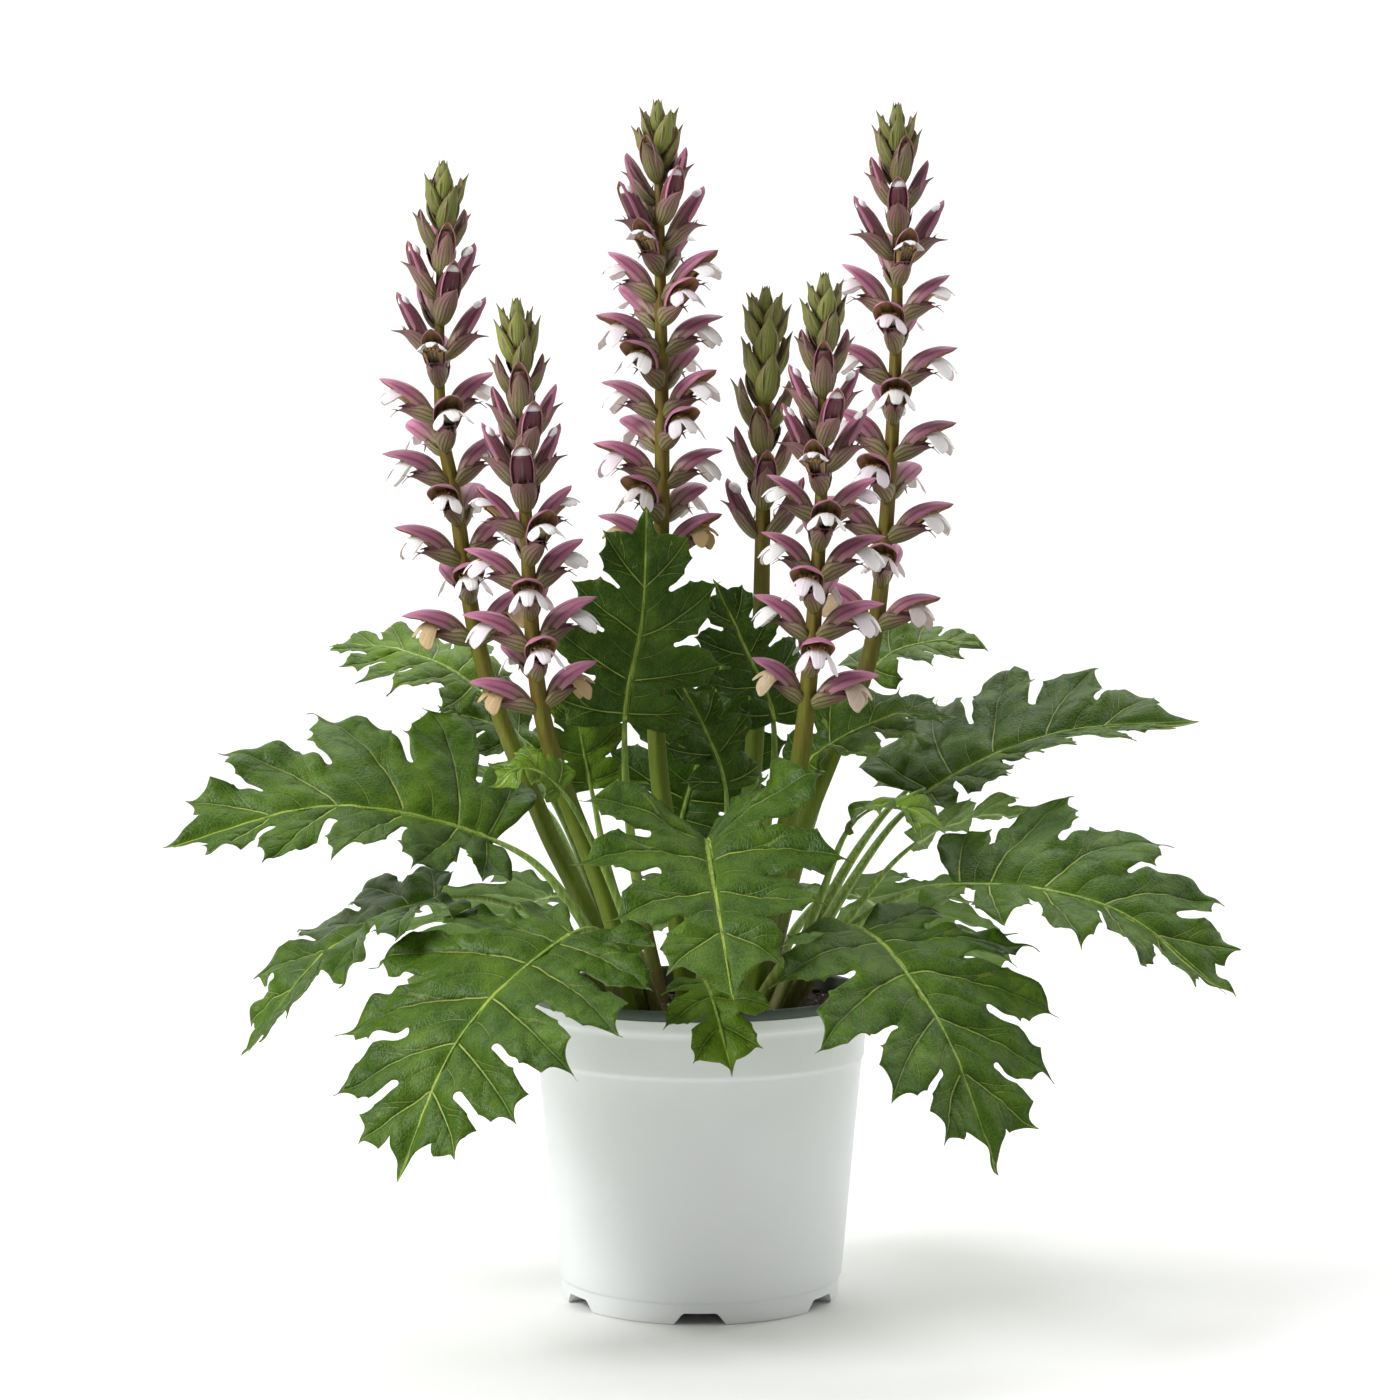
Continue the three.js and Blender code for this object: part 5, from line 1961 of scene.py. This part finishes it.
    def bud(self, seat: Seat) -> None:
        """Add a closed bud, ripe or young."""
        hood = YOUNG_HOOD.blend(BUD_HOOD, seat.ripe)
        self._sheet(self.hoods, seat, hood.grid(), hood.thickness, (0, 1))
        bract = YOUNG_BRACT.blend(BUD_BRACT, seat.ripe)
        self._bract(seat, bract, BUD_SPINES, 5.5 + 4 * seat.ripe)
        tongue = YOUNG_TONGUE.blend(BUD_TONGUE, seat.ripe)
        self._sheet(self.hoods, seat, tongue.grid(), tongue.thickness, (2, 2))
        if seat.ripe > CAPPED_FROM:
            self._cap(seat, hood.stations[-1][:2])


@dataclass(frozen=True)
class Spike:
    """A tall stem with flowers face to face in pairs, each pair a quarter turn on."""

    name: str
    places: tuple[tuple[float, ...], ...]
    levels: int
    open_levels: int
    flowers_from: float
    turn: float
    turn_step: float
    size: float = 1.0
    crowding: float = 1.42
    sway: float = 0.0
    sway_phase: float = 0.26
    stray: float = 11.0
    wobble: float = 8.0
    lifts: Pair = (-3.0, 4.0)
    sizes: Pair = (0.93, 1.06)
    bud_size: float = 1.2
    bud_taper: Pair = (0.34, 0.13)
    ripening: Pair = (1.0, 1.35)
    young_ripening: Pair = (0.6, 1.1)
    opening: Pair = (0.3, 0.28)
    ageing: float = 0.6
    top_share: float = 0.985
    crown_turns: tuple[float, ...] = (0.3, 1.9, 3.4, 5.0)
    crown_lift: float = 0.42
    crown_size: float = 0.56
    root_height: float = 183.0
    base_radius: float = 6.8
    top_radius: float = 2.6
    stem_rings: int = 70
    stem_sides: int = 20

    def _curve(self) -> Spine:
        """Return the stem's curve."""
        (x, y), *rest = self.places
        return Spine([(x, y, self.root_height), *rest])

    def _seats(self, curve: Spine) -> list[tuple[bool, Seat]]:
        """Return where each flower sits, and whether it is open."""
        rng = np.random.default_rng(sum(map(ord, self.name)))
        shares = np.linspace(0, 1, 2001)
        heights = curve.at(curve.share(shares))[:, 2]
        first = float(np.interp(self.flowers_from, heights, shares))
        seats = []
        for i in range(self.levels):
            share = i / (self.levels - 1)
            rise = 1 - (1 - share) ** self.crowding
            at = first + (self.top_share - first) * rise
            is_open = i < self.open_levels
            sway = self.sway * math.sin((i + self.sway_phase) * math.pi / 2)
            turn = math.radians(self.turn + i * self.turn_step - sway)
            closed = (i - self.open_levels) / max(1, self.levels - 1 - self.open_levels)
            start, fall = self.ripening if self.open_levels else self.young_ripening
            ripe = 1.0 if is_open else max(0.0, start - fall * closed)
            broad, tip = self.bud_taper
            growth = 1.0 if is_open else self.bud_size - broad * share**2 - tip * share**8
            age = max(0.0, 1.0 - self.ageing * i) if is_open else 0.0
            latest, step = self.opening
            opening = min(1.0, latest + step * (self.open_levels - 1 - i))
            stray = 0.0 if self.sway else self.stray * math.cos((i - 1) * math.pi / 2)
            low, spread = self.lifts
            for half in (0.0, math.pi):
                raised = (6 if is_open else 5) * share
                lift = math.radians(low + raised + rng.uniform(-spread, spread))
                wobble = math.radians(stray + rng.uniform(-self.wobble, self.wobble))
                seats.append((is_open, self._seat(
                    curve, at + rng.uniform(-0.003, 0.003), turn + half + wobble, lift,
                    self.size * growth * rng.uniform(*self.sizes), rng.uniform(0, 1),
                    age * rng.uniform(0.4, 1), ripe, min(1.0, opening * rng.uniform(0.8, 1.2)),
                )))
        return seats

    @staticmethod
    def _seat(
        curve: Spine, at: float, turn: float, lift: float, size: float,
        hue: float, age: float, ripe: float, opening: float = 0.0,
    ) -> Seat:
        """Return one seat on the stem.

        Args:
            curve: The stem's curve.
            at: The share of its length.
            turn: The turn about the stem from the front, to the right seen from above.
            lift: How far the flower is tipped up.
            size: Its scale.
            hue: Its place among the shades, from 0 to 1.
            age: How withered its lip is.
            ripe: How ripe a bud is.
            opening: How far it has opened.

        Returns:
            The seat.
        """
        t = curve.share(at)
        up = curve.along(t)
        front = square_to(np.array([0.0, -1.0, 0.0]), up)
        side = np.cross(up, front)
        out = front * math.cos(turn) + side * math.sin(turn)
        aside = np.cross(up, out)
        return Seat(curve.at(t), out, aside, up, lift, size, hue, age, ripe, opening)

    def _stem(self, curve: Spine) -> Skin:
        """Return the ribbed stem."""
        t = np.linspace(0, 1, self.stem_rings)
        centres = curve.at(t)
        along = curve.along(t)
        front = square_to(np.broadcast_to(np.array([0.0, -1.0, 0.0]), along.shape), along)
        side = np.cross(along, front)
        sides = self.stem_sides
        angle = np.linspace(0, 2 * math.pi, sides, endpoint=False)
        radius = self.base_radius + (self.top_radius - self.base_radius) * t**2
        ribs = 1 + 0.035 * np.cos(angle * 5 + 0.4) + 0.05 * np.cos(angle * 4)
        points, faces = tube(centres, front, side, radius[:, None] * ribs, sides)
        skin = Skin()
        skin.add(points, faces, 0, along=np.concatenate([np.repeat(t, sides), [0, 1]]))
        return skin

    def build(self) -> None:
        """Make the spike's pieces and put them in the place of its solid."""
        curve = self._curve()
        blooms = Blooms()
        for is_open, seat in self._seats(curve):
            if is_open:
                blooms.open_flower(seat)
            else:
                blooms.bud(seat)
        size = self.crown_size * self.size
        for turn in self.crown_turns:
            blooms.bud(self._seat(curve, 1.0, turn, self.crown_lift, size, 0.5, 0.0, 0.0))
        pieces = [
            ("stem", self._stem(curve), [Finish.STEM]),
            ("hoods", blooms.hoods,
             [Finish.HOOD, Finish.HOOD_INSIDE, Finish.TONGUE, Finish.THROAT]),
            ("bracts", blooms.bracts, [Finish.BRACT]),
            ("lips", blooms.lips, [Finish.LIP]),
            ("stamens", blooms.stamens, [Finish.STAMEN]),
        ]
        for part, skin, finishes in pieces:
            if skin.count:
                stand_for(skin.piece(f"{self.name}_{part}", finishes), self.name)


SPIKES = (
    Spike("spike_left_tall",
          ((-45, 12), (-83, 28, 268), (-112, 42, 325), (-154, 54, 434), (-173, 55, 547),
           (-184, 55, 618), (-182, 55, 765)),
          16, 8, 447, 90, 92),
    Spike("spike_centre_tall",
          ((-8, 26), (-20, 42, 290), (-31, 60, 387), (-27, 68, 547), (-28, 70, 689),
           (-30, 70, 810)),
          17, 10, 508, 90, 90, sway=38),
    Spike("spike_right_tall",
          ((30, 24), (62, 38, 290), (98, 52, 380), (123, 62, 448), (135, 65, 568),
           (140, 65, 689), (140, 65, 807)),
          17, 10, 457, 70, 92, crowding=1.5),
    Spike("spike_left_short",
          ((-38, -30), (-63, -40, 274), (-94, -46, 357), (-110, -50, 424), (-118, -50, 545),
           (-123, -50, 661)),
          17, 7, 405, -80, 90, size=0.95, crowding=1.36),
    Spike("spike_right_short",
          ((32, -22), (52, -28, 290), (68, -34, 370), (76, -40, 450), (82, -40, 546),
           (84, -40, 679)),
          17, 8, 408, 80, 92, size=0.95, crowding=1.36),
    Spike("spike_back_young",
          ((18, 46), (32, 66, 290), (42, 84, 420), (45, 90, 520), (46, 90, 610), (47, 90, 680)),
          11, 0, 522, 80, 94, size=0.95),
)


# The studio


@dataclass(frozen=True)
class Lamp:
    """A square soft light: its place and aim and its side in metres, its power in watts."""

    name: str
    place: Triple
    aim: Triple
    side: float
    power: float

    def build(self) -> None:
        """Add the light to the scene."""
        data = bpy.data.lights.new(self.name, "AREA")
        data.size = self.side
        data.energy = self.power
        light = bpy.data.objects.new(self.name, data)
        light.location = self.place
        way = Vector(self.aim) - Vector(self.place)
        light.rotation_euler = way.to_track_quat("-Z", "Y").to_euler()
        bpy.context.scene.collection.objects.link(light)


PLANT = (0.0, 0.0, 0.35)
LAMPS = (
    Lamp("key", (-1.7, -0.9, 1.7), PLANT, 1.0, 56.0),
    Lamp("fill", (1.9, -0.1, 1.2), PLANT, 1.2, 11.0),
    Lamp("top", (0.1, 0.9, 2.3), PLANT, 1.5, 26.0),
    Lamp("wall", (-2.4, 1.6, 2.6), (-0.7, 3.8, 1.2), 1.4, 62.0),
    Lamp("wall", (2.4, 1.6, 2.6), (0.7, 3.8, 1.2), 1.4, 62.0),
)


@dataclass(frozen=True)
class Studio:
    """The pale floor that sweeps up behind, the soft lights and the camera, in metres."""

    camera_place: Triple = (0.0, -2.2, 0.52)
    lens: float = 82.0
    sensor: float = 36.0
    image_side: float = 1400.0
    horizon: float = 538.0
    half_width: float = 7.0
    front: float = -6.0
    sweep_from: float = 2.2
    sweep_radius: float = 1.6
    sweep_steps: int = 24
    wall_top: float = 6.0
    daylight: float = 0.27

    def _camera(self) -> None:
        """Add the level camera, shifted down to the photograph's framing."""
        data = bpy.data.cameras.new("camera")
        data.lens = self.lens
        data.sensor_width = self.sensor
        camera = bpy.data.objects.new("camera", data)
        camera.location = self.camera_place
        camera.rotation_euler = (math.pi / 2, 0, 0)
        data.shift_y = (self.horizon - self.image_side / 2) / self.image_side
        bpy.context.scene.collection.objects.link(camera)
        bpy.context.scene.camera = camera

    def _floor(self) -> None:
        """Add the floor and the wall that it sweeps up into."""
        turn = np.linspace(0, math.pi / 2, self.sweep_steps)
        radius = self.sweep_radius
        section = [(self.front, 0.0)]
        section += [
            (self.sweep_from + radius * math.sin(a), radius * (1 - math.cos(a))) for a in turn
        ]
        section.append((self.sweep_from + radius, self.wall_top))
        sides = (-self.half_width, self.half_width)
        points = np.array([(x, y, z) for y, z in section for x in sides]) / MM
        skin = Skin()
        skin.add(points, grid_faces(len(section), 2))
        skin.piece("studio_floor", [Finish.FLOOR])

    def _world(self) -> None:
        """Light the room evenly."""
        world = bpy.data.worlds.new("studio")
        world.use_nodes = True
        background = world.node_tree.nodes["Background"]
        background.inputs["Color"].default_value = (1.0, 1.0, 1.0, 1.0)
        background.inputs["Strength"].default_value = self.daylight
        bpy.context.scene.world = world

    def build(self) -> None:
        """Set up the studio."""
        bpy.context.scene.view_settings.view_transform = "Standard"
        self._camera()
        self._floor()
        self._world()
        for lamp in LAMPS:
            lamp.build()


def main() -> None:
    """Build the studio, the pot, the soil, the leaves and the spikes, and note the sizes."""
    logging.basicConfig(level=logging.INFO, format="%(message)s")
    Studio().build()
    Pot().build()
    Soil().build()
    for leaf in LEAVES:
        leaf.build()
    for spike in SPIKES:
        spike.build()
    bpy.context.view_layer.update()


if __name__ == "__main__":
    main()
